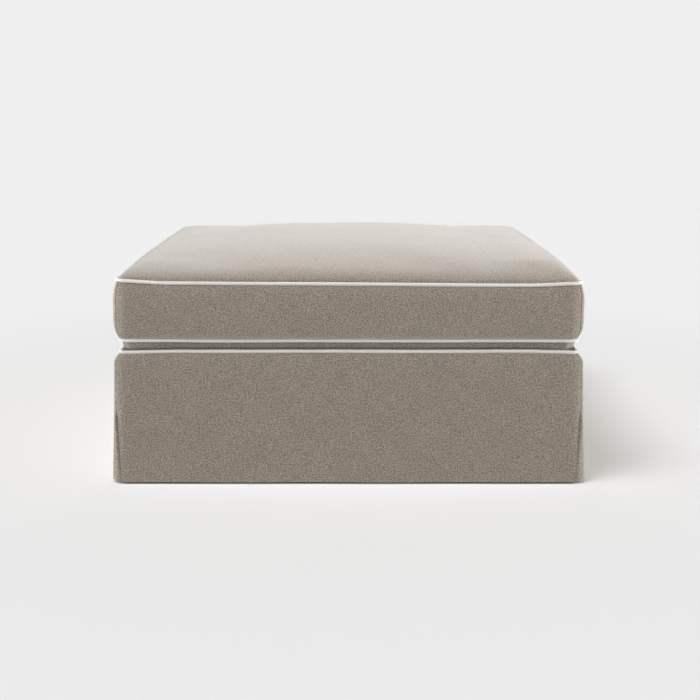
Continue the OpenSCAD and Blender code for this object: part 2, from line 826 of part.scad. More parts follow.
// The pull lies back along the closed zip; its cross bar turns under the slider's bridge
module zip_pull() {
  t = 1.2;
  arm_w = 1;
  arm_in = 1.6;
  tab_x = 6.5;
  tab_h = 3.4;
  color(metal_colour) translate([slider_x, pull_axis_y, mid_z]) union() {
    translate([0, 0, -arm_in - arm_w]) cylinder(d = 1.6, h = 2 * (arm_in + arm_w), $fn = 24);
    for (s = [-1, 1])
      translate([-tab_x - 0.5, -t / 2, s * (arm_in + arm_w / 2) - arm_w / 2]) cube([tab_x + 0.5, t, arm_w]);
    translate([0, t / 2, 0]) rotate([90, 0, 0]) linear_extrude(t) difference() {
      union() {
        translate([-pull_l + tab_h, -tab_h]) square([pull_l - tab_h - tab_x, 2 * tab_h]);
        translate([-pull_l + tab_h, 0]) circle(r = tab_h);
      }
      translate([-pull_l + tab_h, 0]) circle(r = 1.4);
    }
  }
}

// Nodes

long_rail(-1, frame_z1 - rail_h);  // top_rail_front
long_rail(1, frame_z1 - rail_h);  // top_rail_back
cross_rail(-1, frame_z1 - rail_h);  // top_rail_left
cross_rail(1, frame_z1 - rail_h);  // top_rail_right
long_rail(-1, frame_z0);  // bottom_rail_front
long_rail(1, frame_z0);  // bottom_rail_back
cross_rail(-1, frame_z0);  // bottom_rail_left
cross_rail(1, frame_z0);  // bottom_rail_right
corner_post(-1, -1);  // corner_post_front_left
corner_post(1, -1);  // corner_post_front_right
corner_post(-1, 1);  // corner_post_back_left
corner_post(1, 1);  // corner_post_back_right
front_board(-1);  // side_board_front
front_board(1);  // side_board_back
side_board(-1);  // side_board_left
side_board(1);  // side_board_right
centre_stretcher();
frame_screws();
foot_screws();
foot(-1, -1);  // foot_front_left
foot(1, -1);  // foot_front_right
foot(-1, 1);  // foot_back_left
foot(1, 1);  // foot_back_right
foot_glides();
dust_cover();
dust_cover_staples();
sinuous_spring(-2 * spring_pitch);  // spring_far_left
sinuous_spring(-spring_pitch);  // spring_left
sinuous_spring(0);  // spring_centre
sinuous_spring(spring_pitch);  // spring_right
sinuous_spring(2 * spring_pitch);  // spring_far_right
spring_clips();
insulator_sheet();
deck_foam();
side_wadding();
deck_panel();
skirt(0);  // skirt_front
skirt(1);  // skirt_right
skirt(2);  // skirt_back
skirt(3);  // skirt_left
pleat_underlay(0);  // pleat_underlay_front_right
pleat_underlay(1);  // pleat_underlay_back_right
pleat_underlay(2);  // pleat_underlay_back_left
pleat_underlay(3);  // pleat_underlay_front_left
piping_ring(half_w - pipe_in, half_d - pipe_in, corner_r - pipe_in, pipe_z);  // deck_piping
cushion_top_panel();
cushion_bottom_panel();
boxing(0);  // boxing_front
boxing(1);  // boxing_right
boxing(3);  // boxing_left
boxing_back(true);  // boxing_back_upper
boxing_back(false);  // boxing_back_lower
piping_ring(top_w, top_d, seam_r, top_z);  // cushion_piping_top
piping_ring(low_w, low_d, seam_r, low_z);  // cushion_piping_bottom
foam_core();
fibre_wrap();
zip_tapes();
zip_teeth();
zip_slider();
zip_pull();
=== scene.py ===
"""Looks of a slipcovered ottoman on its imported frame, in metres.

Heathered cloth with contrast piping, a loose crowned cushion with a zip at the back,
kick pleats, a sprung timber base seen from below, and a pale studio.
"""

import math

import bmesh
import bpy
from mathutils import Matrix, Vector, noise


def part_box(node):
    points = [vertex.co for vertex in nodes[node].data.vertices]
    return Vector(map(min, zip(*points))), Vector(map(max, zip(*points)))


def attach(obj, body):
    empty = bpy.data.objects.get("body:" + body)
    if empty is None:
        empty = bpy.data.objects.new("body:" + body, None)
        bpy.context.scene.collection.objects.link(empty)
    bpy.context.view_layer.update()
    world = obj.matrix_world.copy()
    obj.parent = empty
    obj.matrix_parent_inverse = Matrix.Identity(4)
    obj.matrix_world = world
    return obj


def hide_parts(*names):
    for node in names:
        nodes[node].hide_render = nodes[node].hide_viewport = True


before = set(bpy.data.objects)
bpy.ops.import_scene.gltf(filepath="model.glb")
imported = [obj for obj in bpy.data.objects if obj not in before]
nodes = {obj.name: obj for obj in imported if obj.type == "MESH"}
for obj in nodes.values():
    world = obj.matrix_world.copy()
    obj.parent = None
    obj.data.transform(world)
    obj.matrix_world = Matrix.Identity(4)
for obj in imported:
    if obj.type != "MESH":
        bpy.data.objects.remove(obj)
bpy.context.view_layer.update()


# Sizes read from the frame

def low_of(node):
    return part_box(node)[0]


def high_of(node):
    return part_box(node)[1]


CORD_R = (high_of("cushion_piping_top").z - low_of("cushion_piping_top").z) / 2


def cord_line(node):
    """Half the width and the height of the line that a piping cord follows."""
    high = high_of(node)
    return high.x - CORD_R, high.z - CORD_R


TOP_HALF, TOP_Z = cord_line("cushion_piping_top")
LOW_HALF, LOW_Z = cord_line("cushion_piping_bottom")
MID_Z = (TOP_Z + LOW_Z) / 2
DECK_HALF, DECK_CORD_Z = cord_line("deck_piping")
DECK_Z = high_of("deck_panel").z
BULGE_HALF = -low_of("boxing_front").y
HEM_HALF = -low_of("skirt_front").y
HEM_CLEAR = 0.001
HEM_Z = low_of("skirt_front").z + HEM_CLEAR
CROWN_Z = high_of("cushion_top_panel").z
FRAME_LOW = low_of("corner_post_front_left").z
FRAME_TOP = high_of("corner_post_front_left").z
FRAME_HALF = high_of("corner_post_front_right").x
BOARD_HALF = high_of("side_board_right").x
ZIP_END = 0.003
ZIP_HALF = high_of("zip_teeth").x - ZIP_END
ZIP_FACE = low_of("zip_teeth").y

# Sizes that the boxes can't give
CLOTH = 0.0016
BACKED_CLOTH = 0.001
SEAT = CORD_R + 0.00005
SEAM_R = 0.024
BASE_R = 0.028
DECK_R = 0.011
CROWN_PUFF = 0.0165
CROWN_DOME = CROWN_Z - CLOTH / 2 - TOP_Z - CROWN_PUFF
UNDER_SAG = LOW_Z - low_of("cushion_bottom_panel").z - CLOTH / 2
SEWN_PUFF = 0.019
UNDER_ROUND = 0.014
SHOULDER_H = 0.036
FLARE = 0.010
BASE_HALF = HEM_HALF - FLARE
SHOULDER_Z = DECK_CORD_Z - SHOULDER_H
HEM_DEPTH = 0.020
PLEAT_H = 0.186
PLEAT_OPEN = 0.0124
UNDERLAY_REACH = 0.045
UNDERLAY_UP = 0.0005
PLEAT_SWELL = 0.0075
SIDE_BOW = 0.003
SKIRT_SLACK = 0.0016
DECK_SLACK = 0.0007
SEAM_SLACK = 0.0009
TOP_SLACK = 0.0013
TOP_RIPPLE = 0.0006
TOP_SUNK = 0.0009
SEAM_EASE = 0.004
GATHER_EASE = 0.006
GATHER_REACH = 0.09
ZIP_SLOT = 0.009
SLOT_CLOSED = 0.00008
SLOT_TAPER = 0.006
FOLD = 0.0012
FOLD_SHARE = 0.08
ZIP_ROW = 2 * FOLD_SHARE
HELD_BAND = 0.035
HELD_END = 0.06
TEETH_PITCH = 0.003
TOOTH_T = 0.0018
STITCH_L = 0.0028
STITCH_W = 0.0009
STITCH_UP = 0.0012
STITCH_PITCH = 0.0042
HEM_TURN = 0.0011
HEM_IN = 0.0023
HEM_DENT = 0.0016
HEM_DENT_W = 0.0018
GROOVE_DEPTH = 0.0014
GROOVE_W = 0.0011
UP = Vector((0, 0, 1))

# Turns in radians, and the angle past which an edge counts as sharp and is eased
EIGHTH = math.pi / 4
QUARTER = math.pi / 2
EASE_PAST = 0.5

# Powers of the curves: a high one runs flat for long, then falls steeply at its end
SEWN_POWER = 60
SIDE_POWER = 36
FRONT_POWER = 26
FILL_POWER = 30
DOME_POWER = 2.8
CORNER_POWER = 48
UNDER_POWER = 4.5
SHOULDER_POWER = 3.2
HIGH_BOXING_POWER = 2.0
LOW_BOXING_POWER = 2.7
BOXING_POWER_GAIN = 1.2
EAR_POWER = 4

# How closely grid lines crowd towards corners and seams, from 0 to 1
EDGE_SHARE = 0.92
ZIP_SHARE = 0.6
CORD_SHARE = 0.8
PANEL_SHARE = 0.6

# How the worn cover has settled: corner ears up, deck corners down, the upper seam askew
EAR_UP = 0.005
EAR_OUT = 0.0035
EAR_REACH = 0.11
BACK_EARS = 0.3
LOW_EAR_OUT = 0.0045
LOW_EAR_UP = 0.001
LOW_EAR_REACH = 0.16
LOW_UP = 0.001
SEAM_SWAY = 0.0032
SWAY_BAND = 0.12
DECK_DROP = -0.002
DECK_RIM = 0.012
DECK_RIM_UP = 0.0008
SIDE_FILL = 0.0165
FILL_BAND = 0.2
FILL_RAMP = 0.11
FILL_FADE = 0.3
BACK_FILL = 0.65
RIGHT_FILL = 0.2
RIGHT_EARS = 0.4
CORNER_LIFT = 0.4
CORNER_PULL = 0.013


# Shapes shared by the soft pieces

def smooth(t):
    """A soft step from 0 to 1."""
    t = max(0.0, min(1.0, t))
    return t * t * (3 - 2 * t)


def dense(t, share=PANEL_SHARE):
    """Moves grid lines towards the two ends of a run from -1 to 1."""
    return t + share * math.sin(math.pi * t) / math.pi


def wave(x, y, z, scale):
    """Smooth seeded noise, about -1 to 1, whose features are scale metres wide."""
    return noise.noise(Vector((x, y, z)) / scale)


def to_side(side, x, y):
    """A place on the front side, turned to the front, right, back or left one."""
    return ((x, y), (-y, x), (-x, -y), (y, -x))[side]


def side_point(side, t, half, r):
    """A point t, from -1 to 1, along one side of a rounded square, front side first."""
    straight = half - r
    d = abs(t) * (straight + r * EIGHTH)
    turn = max(0.0, d - straight) / r
    x = math.copysign(min(d, straight) + r * math.sin(turn), t)
    y = -(half - r) - r * math.cos(turn)
    return to_side(side, x, y)


def panel_point(u, v, half, r):
    """A point of a flat rounded panel, u and v from -1 to 1."""
    m = max(abs(u), abs(v))
    if m == 0:
        return 0.0, 0.0
    if abs(v) >= abs(u):
        x, y = side_point(0, u / m, half, r) if v < 0 else side_point(2, -u / m, half, r)
    else:
        x, y = side_point(1, v / m, half, r) if u > 0 else side_point(3, -v / m, half, r)
    return m * x, m * y


def near_corner(x, y, half, reach=EAR_REACH):
    """1 at the corners of a square, fading to 0 within the reach of an ear."""
    return smooth(1 - math.hypot(half - abs(x), half - abs(y)) / reach)


def settle_cushion(x, y, z):
    """Places a point of the cushion's cover as the stuffing leaves it."""
    share = max(0.0, min(1.0, (z - LOW_Z) / (TOP_Z - LOW_Z)))
    beside = smooth(1 - (TOP_HALF - max(abs(x), abs(y))) / SWAY_BAND)
    ear = near_corner(x, y, TOP_HALF) * (BACK_EARS if y > 0 else 1)
    lift = share * (EAR_UP * ear - SEAM_SWAY * beside * x / TOP_HALF)
    lift += (1 - share) * (LOW_UP + LOW_EAR_UP * near_corner(x, y, LOW_HALF, LOW_EAR_REACH))
    lift += SEAM_SLACK * beside * wave(x, y, 0.3 * round(share), 0.17)
    out = EAR_OUT * (1 + RIGHT_EARS * x / TOP_HALF) * share ** EAR_POWER
    out = (out + LOW_EAR_OUT * (1 - share) ** EAR_POWER) * near_corner(x, y, TOP_HALF)
    return Vector((x + math.copysign(out, x), y + math.copysign(out, y), z + lift))


def settle_base(x, y, z):
    """Places a point of the base's cover: its sides bow out and its deck corners have sunk a little."""
    up = smooth((z - SHOULDER_Z) / (DECK_CORD_Z - SHOULDER_Z))
    inset = DECK_HALF - max(abs(x), abs(y))
    lift = up * (DECK_DROP * near_corner(x, y, DECK_HALF) + DECK_RIM_UP * smooth(1 - inset / DECK_RIM))
    lift += DECK_SLACK * up * smooth(1 - inset / 0.05) * wave(x, y, 2.0, 0.2)
    wider = 1 + SIDE_BOW / BASE_HALF * smooth((DECK_CORD_Z - 0.004 - z) / 0.02)
    return Vector((x * wider, y, z + lift))


def gather(run, inset, seed, size=0.0008):
    """Small gathers beside a seam: run is the place along it, inset the distance from it."""
    if inset > GATHER_REACH:
        return 0.0
    fine = noise.noise(Vector((run * 42, seed, inset * 9)))
    broad = noise.noise(Vector((run * 15, seed + 7, inset * 6)))
    return size * (fine * math.exp(-inset / 0.011) + 0.8 * broad * math.exp(-inset / 0.028))


def seam_groove(inset):
    """How far cloth dips beside a plain seam, with a soft swell next to the stitching."""
    swell = 0.0008 * math.exp(-((inset - 0.0045) / 0.003) ** 2)
    return GROOVE_DEPTH * math.exp(-(inset / GROOVE_W) ** 2) - swell


# Making and finishing pieces

def add_object(name, data):
    """An object in the scene that shows a mesh, a curve, a lamp or a camera."""
    made = bpy.data.objects.new(name, data)
    bpy.context.scene.collection.objects.link(made)
    return made


def mesh_object(name, mesh, material):
    """An object that takes over a bmesh, with its material."""
    data = bpy.data.meshes.new(name)
    mesh.to_mesh(data)
    mesh.free()
    data.materials.append(material)
    return add_object(name, data)


def finish_piece(name, mesh, body, slot, material, replaced=(), smooth_faces=True):
    """Turns a bmesh into a piece that rides on a body and stands for CAD nodes."""
    piece = mesh_object(name, mesh, material)
    for face in piece.data.polygons:
        face.use_smooth = smooth_faces
    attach(piece, body)
    if replaced:
        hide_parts(*replaced)
    return piece


def face_outwards(mesh, heart):
    """Turns an open sheet's faces so that most of them look away from a point."""
    mesh.normal_update()
    total = sum(f.calc_area() * f.normal.dot(f.calc_center_median() - heart) for f in mesh.faces)
    if total < 0:
        bmesh.ops.reverse_faces(mesh, faces=mesh.faces)


def cloth_mesh(columns, rows, place, cut, heart):
    """A grid of cloth: place(u, v) gives each point, cut(u, v) its place on the flat cloth."""
    mesh = bmesh.new()
    bmesh.ops.create_grid(mesh, x_segments=columns, y_segments=rows, size=1.0)
    flat = mesh.loops.layers.uv.new("cut")
    for face in mesh.faces:
        for loop in face.loops:
            loop[flat].uv = cut(loop.vert.co.x, loop.vert.co.y)
    for vert in mesh.verts:
        vert.co = place(vert.co.x, vert.co.y)
    face_outwards(mesh, heart)
    return mesh


def give_thickness(piece, thickness=CLOTH):
    """Backs a one-sided cloth with its inner face."""
    wall = piece.modifiers.new("thickness", "SOLIDIFY")
    wall.thickness = thickness
    wall.offset = -1
    return piece


def cord_mesh(points, radius):
    """A closed cord that follows a ring of points."""
    curve = bpy.data.curves.new("cord_line", "CURVE")
    curve.dimensions = "3D"
    curve.twist_mode = "Z_UP"
    line = curve.splines.new("POLY")
    line.points.add(len(points) - 1)
    for place, point in zip(line.points, points):
        place.co = (*point, 1.0)
    line.use_cyclic_u = True
    curve.bevel_depth = radius
    curve.bevel_resolution = 4
    holder = add_object("cord_line", curve)
    made = bpy.data.meshes.new_from_object(holder)
    mesh = bmesh.new()
    mesh.from_mesh(made)
    bmesh.ops.remove_doubles(mesh, verts=mesh.verts, dist=1e-6)
    bmesh.ops.recalc_face_normals(mesh, faces=mesh.faces)
    bpy.data.objects.remove(holder)
    bpy.data.meshes.remove(made)
    bpy.data.curves.remove(curve)
    return mesh


def ring_points(half, r, z, settle, count=150):
    """The middle line of a piping cord round a rounded square."""
    points = []
    for side in range(4):
        for i in range(count):
            x, y = side_point(side, dense(2 * i / count - 1, CORD_SHARE), half, r)
            points.append(settle(x, y, z))
    return points


def thread_mesh(spots):
    """Short stitches: each spot is a place, the way the seam runs, and the way out."""
    mesh = bmesh.new()
    for place, along, out in spots:
        made = bmesh.ops.create_uvsphere(mesh, u_segments=6, v_segments=4, radius=0.5)
        across = along.cross(out).normalized()
        for vert in made["verts"]:
            p = vert.co.copy()
            vert.co = place + along * p.z * STITCH_L + across * p.x * STITCH_W + out * p.y * STITCH_UP
    bmesh.ops.recalc_face_normals(mesh, faces=mesh.faces)
    return mesh


def stitch_row(count, share, at, ahead, out=None):
    """Evenly spaced spots for stitches: at(t) gives each place and ahead(t) a point a little further on."""
    spots = []
    for i in range(count):
        t = ((2 * i + 1) / count - 1) * share
        place = at(t)
        along = (ahead(t) - place).normalized()
        spots.append((place, along, out or along.cross(UP).normalized()))
    return spots


def eased_copy(node, width, angle):
    """A copy of a hard CAD node whose sharp edges are eased by a small bevel."""
    mesh = bmesh.new()
    mesh.from_mesh(nodes[node].data)
    bmesh.ops.remove_doubles(mesh, verts=mesh.verts, dist=1e-5)
    bmesh.ops.dissolve_limit(mesh, angle_limit=0.02, verts=mesh.verts, edges=mesh.edges)
    sharp = [e for e in mesh.edges if len(e.link_faces) == 2 and e.calc_face_angle(0) > angle]
    bmesh.ops.bevel(mesh, geom=sharp, offset=width, offset_type="OFFSET", segments=2,
                    profile=0.5, affect="EDGES", material=-1, clamp_overlap=True)
    return mesh


def hard_piece(name, node, width, body, slot, material, angle=EASE_PAST):
    """A hard CAD node shown with eased edges."""
    finish_piece(name, eased_copy(node, width, angle), body, slot, material, [node], smooth_faces=False)


# Node groups and materials

def linear(red, green, blue):
    """A colour written as 0 to 255, as a screen shows it, in linear light."""
    def one(c):
        c = c / 255
        return c / 12.92 if c <= 0.04045 else ((c + 0.055) / 1.055) ** 2.4
    return one(red), one(green), one(blue), 1.0


class Tree:
    """Adds nodes to a node tree, one call each."""

    def __init__(self, tree):
        self.tree = tree

    def feed(self, value, socket):
        """Links another socket to a socket, or sets its own value."""
        if isinstance(value, bpy.types.NodeSocket):
            self.tree.links.new(value, socket)
        else:
            socket.default_value = value

    def add(self, kind, inputs=None, **settings):
        """A shader node of that kind: inputs are sockets to link or values to set, by name or place."""
        node = self.tree.nodes.new("ShaderNode" + kind)
        for name, value in settings.items():
            setattr(node, name, value)
        for name, value in (inputs or {}).items():
            self.feed(value, node.inputs[name])
        return node

    def made(self, kind, inputs=None, **settings):
        """The first output of a new node."""
        return self.add(kind, inputs, **settings).outputs[0]

    def parts(self, vector):
        """The three numbers of a vector."""
        return self.add("SeparateXYZ", {0: vector}).outputs

    def math(self, operation, a, b=0.0, c=0.0):
        return self.made("Math", {0: a, 1: b, 2: c}, operation=operation)

    def plus(self, a, b):
        return self.math("ADD", a, b)

    def product(self, a, b):
        return self.math("MULTIPLY", a, b)

    def scaled(self, vector, scale):
        inputs = {0: vector, "Scale": scale}
        return self.made("VectorMath", inputs, operation="SCALE")

    def times(self, vector, other):
        return self.made("VectorMath", {0: vector, 1: other}, operation="MULTIPLY")

    def noise(self, vector, detail=2.0, scale=1.0, roughness=0.5):
        inputs = {"Vector": vector, "Scale": scale, "Detail": detail, "Roughness": roughness}
        return self.add("TexNoise", inputs).outputs["Fac"]

    def mix(self, factor, a, b):
        """Two colours mixed by a factor."""
        return self.add("Mix", {0: factor, 6: a, 7: b}, data_type="RGBA").outputs[2]

    def span(self, value, low, high, to_low=0.0, to_high=1.0):
        inputs = {0: value, 1: low, 2: high, 3: to_low, 4: to_high}
        return self.made("MapRange", inputs)


def new_group(name, *inputs):
    """A shader node group from a place and other named sockets to a colour and a height."""
    tree = bpy.data.node_groups.new(name, "ShaderNodeTree")
    tree.interface.new_socket(name="Place", in_out="INPUT", socket_type="NodeSocketVector")
    for label, kind, default in inputs:
        tree.interface.new_socket(name=label, in_out="INPUT", socket_type=kind).default_value = default
    for label, kind in (("Color", COLOUR), ("Height", FLOAT)):
        tree.interface.new_socket(name=label, in_out="OUTPUT", socket_type=kind)
    ends = [tree.nodes.new(kind) for kind in ("NodeGroupInput", "NodeGroupOutput")]
    return tree, Tree(tree), ends[0].outputs, ends[1].inputs


FLOAT, COLOUR = "NodeSocketFloat", "NodeSocketColor"


def make_weave():
    """Plain weave of heathered yarn: tones that change from yarn to yarn, slubs and soft blotches."""
    tree, kit, given, out = new_group(
        "plain weave", ("Yarn", FLOAT, 0.001), ("Light yarn", COLOUR, (0.5, 0.5, 0.5, 1)),
        ("Dark yarn", COLOUR, (0.3, 0.3, 0.3, 1)), ("Heather", FLOAT, 0.5), ("Blotch", FLOAT, 0.1))
    place = given["Place"]
    yarns = kit.scaled(place, kit.math("DIVIDE", 1.0, given["Yarn"]))
    parts = kit.parts(yarns)
    over_x = kit.math("SINE", kit.product(parts[0], math.pi))
    over_y = kit.math("SINE", kit.product(parts[1], math.pi))
    crossing = kit.product(over_x, over_y)
    warp_on_top = kit.span(crossing, -0.15, 0.15)
    drawn_out, long, fine = 0.045, 280.0, 620.0
    warp_tone = kit.noise(kit.times(yarns, (1.0, drawn_out, 1.0)), detail=1.0)
    weft_tone = kit.noise(kit.times(yarns, (drawn_out, 1.0, 1.0)), detail=1.0)
    yarn_tone = kit.made("Mix", {0: warp_on_top, 2: weft_tone, 3: warp_tone})
    slubs = kit.plus(kit.noise(kit.times(place, (long, fine, fine)), roughness=0.6),
                     kit.noise(kit.times(place, (fine, long, fine)), roughness=0.6))
    tone = kit.span(kit.plus(kit.product(yarn_tone, 0.25), kit.product(slubs, 0.375)), 0.42, 0.58)
    tone = kit.plus(kit.product(kit.math("SUBTRACT", tone, 0.5), given["Heather"]), 0.5)
    colour = kit.mix(tone, given["Dark yarn"], given["Light yarn"])
    blotch = kit.span(kit.noise(place, detail=1.0, scale=13.0), 0.3, 0.7, -1.0, 1.0)
    shade = kit.plus(1.0, kit.product(blotch, given["Blotch"]))
    level = kit.made("CombineXYZ", {0: shade, 1: shade, 2: shade})
    kit.feed(kit.times(colour, level), out["Color"])
    kit.feed(kit.math("POWER", kit.math("ABSOLUTE", crossing), 0.6), out["Height"])
    return tree


def make_mottle():
    """Two tones mixed by fine and broad noise, with the fine noise as height."""
    tree, kit, given, out = new_group(
        "mottle", ("Grain", FLOAT, 300.0), ("Patch", FLOAT, 12.0), ("Light", COLOUR, (0.6, 0.6, 0.6, 1)),
        ("Dark", COLOUR, (0.4, 0.4, 0.4, 1)), ("Contrast", FLOAT, 0.5))
    fine = kit.noise(given["Place"], detail=3.0, scale=given["Grain"], roughness=0.6)
    broad = kit.noise(given["Place"], scale=given["Patch"])
    both = kit.plus(kit.product(fine, 0.6), kit.product(broad, 0.4))
    spread = kit.span(both, 0.35, 0.65, -0.5, 0.5)
    tone = kit.plus(0.5, kit.product(spread, given["Contrast"]))
    kit.feed(kit.mix(tone, given["Dark"], given["Light"]), out["Color"])
    kit.feed(fine, out["Height"])
    return tree


def make_grain():
    """Sawn softwood: growth rings drawn out along Z of the given place, with pores."""
    tree, kit, given, out = new_group(
        "timber grain", ("Early wood", COLOUR, (0.7, 0.5, 0.3, 1)),
        ("Late wood", COLOUR, (0.5, 0.3, 0.15, 1)))
    drawn = kit.times(given["Place"], (1.0, 1.0, 0.05))
    bend = kit.noise(kit.scaled(drawn, 9.0), detail=2.0)
    parts = kit.parts(drawn)
    off_pith = [kit.math("POWER", kit.plus(parts[i], pith), 2.0) for i, pith in enumerate((0.021, 0.034))]
    turns = kit.plus(kit.product(kit.math("SQRT", kit.plus(*off_pith)), 1500.0), kit.product(bend, 14.0))
    rings = kit.span(kit.math("SINE", turns), -1.0, 1.0)
    pores = kit.noise(kit.times(given["Place"], (900.0, 900.0, 30.0)), detail=2.0)
    tone = kit.plus(kit.product(rings, 0.7), kit.product(pores, 0.35))
    kit.feed(kit.mix(tone, given["Early wood"], given["Late wood"]), out["Color"])
    kit.feed(kit.plus(pores, kit.product(rings, 0.4)), out["Height"])
    return tree


WEAVE, MOTTLE, GRAIN = make_weave(), make_mottle(), make_grain()


def with_group(name, group, values, bump, depth, on_cut=False, turned=None, **plain):
    """A material whose colour and bump come from a group, and whose plain values are set by socket name."""
    material = bpy.data.materials.new(name)
    material.use_nodes = True
    kit = Tree(material.node_tree)
    shader = material.node_tree.nodes["Principled BSDF"]
    for socket, value in plain.items():
        shader.inputs[socket.replace("_", " ")].default_value = value
    if on_cut:
        source = kit.made("UVMap", uv_map="cut")
    else:
        source = kit.add("TexCoord").outputs["Object"]
    if turned:
        source = kit.made("Mapping", {"Vector": source, "Rotation": turned})
    effect = kit.add("Group", node_tree=group)
    kit.feed(source, effect.inputs["Place"])
    for label, value in values.items():
        effect.inputs[label].default_value = value
    kit.feed(effect.outputs["Color"], shader.inputs["Base Color"])
    relief = {"Strength": bump, "Distance": depth, "Height": effect.outputs["Height"]}
    kit.feed(kit.made("Bump", relief), shader.inputs["Normal"])
    return material


def woven(name, light, dark, yarn, heather=0.55, blotch=0.03, on_cut=True, sheen=0.5):
    """A woven cloth with a soft nap, laid out on the cloth's cut or straight in space."""
    return with_group(
        name, WEAVE,
        {"Yarn": yarn, "Light yarn": linear(*light), "Dark yarn": linear(*dark),
         "Heather": heather, "Blotch": blotch},
        bump=0.35, depth=0.0004, on_cut=on_cut, Roughness=0.95,
        Sheen_Weight=sheen, Sheen_Roughness=0.45, Sheen_Tint=(0.94, 0.95, 0.93, 1.0),
        Specular_IOR_Level=0.15)


def mottled(name, light, dark, grain, patch=12.0, contrast=0.8, bump=0.3, depth=0.0004, **plain):
    """A material of two mottled tones."""
    values = {"Grain": grain, "Patch": patch, "Light": linear(*light), "Dark": linear(*dark),
              "Contrast": contrast}
    return with_group(name, MOTTLE, values, bump, depth, **plain)


def sawn(name, turned=None):
    """Sawn timber whose grain runs along Z, or along the axis that turned brings there."""
    return with_group(name, GRAIN, {"Early wood": linear(216, 184, 140), "Late wood": linear(176, 134, 90)},
                      bump=0.25, depth=0.0004, turned=turned, Roughness=0.62)


cover = woven("cover cloth", (157, 146, 133), (105, 97, 88), 0.0011, heather=1.9, sheen=0.55)
piping_cloth = woven("piping cloth", (220, 217, 214), (200, 197, 194), 0.0009, heather=0.4, blotch=0.01,
                     on_cut=False, sheen=0.25)
zip_tape = woven("zip tape", (160, 150, 136), (140, 130, 118), 0.0007, heather=0.3, blotch=0.0,
                 sheen=0.2)
thread = mottled("sewing thread", (104, 95, 84), (88, 80, 71), 900.0, Roughness=0.8)
black_cloth = mottled("black spun cloth", (38, 38, 41), (22, 22, 24), 700.0, patch=60.0,
                      Roughness=0.9, bump=0.5)
timber_x = sawn("timber along x", (0.0, QUARTER, 0.0))
timber_y = sawn("timber along y", (QUARTER, 0.0, 0.0))
timber_z = sawn("timber upright")
fibreboard = mottled("fibreboard", (178, 146, 106), (138, 106, 72), 420.0, patch=40.0, Roughness=0.75)
steel = mottled("zinc plated steel", (198, 200, 204), (160, 162, 168), 150.0, patch=30.0,
                Roughness=0.32, Metallic=1.0, bump=0.08)
spring_steel = mottled("spring steel", (126, 128, 132), (88, 90, 94), 200.0, patch=25.0,
                       Roughness=0.38, Metallic=1.0, bump=0.1)
glide_nylon = mottled("glide nylon", (66, 66, 68), (50, 50, 52), 500.0, Roughness=0.5, bump=0.15)
foam = mottled("upholstery foam", (240, 230, 196), (222, 208, 168), 520.0, Roughness=0.95,
               bump=0.6, depth=0.0008)
fibre = mottled("polyester fibre", (246, 246, 243), (226, 226, 222), 120.0, patch=18.0,
                Roughness=1.0, bump=0.8, depth=0.003)
felt = mottled("insulator felt", (134, 124, 112), (96, 88, 82), 320.0, patch=45.0, Roughness=1.0,
               bump=0.6, contrast=1.0)
zip_plastic = mottled("zip teeth plastic", (176, 167, 152), (160, 151, 137), 600.0, Roughness=0.42,
                      bump=0.1)
zip_metal = mottled("zip metal", (190, 188, 184), (150, 148, 145), 260.0, Roughness=0.3, Metallic=1.0,
                    bump=0.12)


# The cushion's cover

CUSHION_HEART = Vector((0.0, 0.0, MID_Z))


def rise(u, v, power):
    """How full a sewn panel stands at a place, 1 in its middle and 0 at its seam."""
    return (1 - abs(u) ** power) * (1 - abs(v) ** power)


def roll(x, y, side_power=SIDE_POWER, front_power=FRONT_POWER):
    """The share of the crown's first steep roll that is reached at a place, rounded at the corners."""
    a, b = (abs(x) / TOP_HALF) ** CORNER_POWER, (abs(y) / TOP_HALF) ** CORNER_POWER
    if a + b < 1e-20:
        return 1.0
    power = (side_power * a + front_power * b) / (a + b)
    return 1 - min(1.0, (a + b) ** (1 / CORNER_POWER)) ** power


def side_fill(x, y):
    """How much fuller the stuffing is along the two sides, between the corners, and most in front."""
    front = smooth((FILL_FADE - y) / (2 * FILL_FADE))
    along = smooth((TOP_HALF - abs(y)) / FILL_RAMP) * (BACK_FILL + (1 - BACK_FILL) * front)
    beside = smooth(1 - (TOP_HALF - abs(x)) / FILL_BAND)
    return SIDE_FILL * (1 + RIGHT_FILL * x / TOP_HALF) * beside * along


def under_drop(inset):
    """How far the bottom panel hangs: it falls steeply beside its seam, then turns level."""
    left = max(0.0, 1 - inset / UNDER_ROUND)
    return UNDER_SAG * (1 - left ** UNDER_POWER) ** (1 / UNDER_POWER)


def run_along(u, v, half):
    """How far along its nearest seam a panel's point lies, different on each side."""
    return (u * half if abs(v) > abs(u) else v * half) + (2.0 if v > abs(u) or u > abs(v) else 0.0)


def top_place(u, v):
    """A point of the crowned top panel."""
    u, v = dense(u), dense(v)
    x, y = panel_point(u, v, TOP_HALF - SEAT, SEAM_R - SEAT)
    inset = (1 - max(abs(u), abs(v))) * TOP_HALF
    z = TOP_Z + CLOTH / 2 + CROWN_PUFF * roll(x, y) * smooth(inset / SEAM_EASE)
    z += CROWN_DOME * rise(x / TOP_HALF, y / TOP_HALF, DOME_POWER)
    z += side_fill(x, y) * roll(x, y, FILL_POWER, FILL_POWER)
    soft = smooth(inset / 0.06)
    z += soft * (TOP_SLACK * wave(x, y, 0.0, 0.22) + TOP_RIPPLE * wave(x, y, 5.0, 0.09) - TOP_SUNK)
    z += gather(run_along(u, v, TOP_HALF), inset, 1.0) * smooth(inset / GATHER_EASE)
    return settle_cushion(x, y, z)


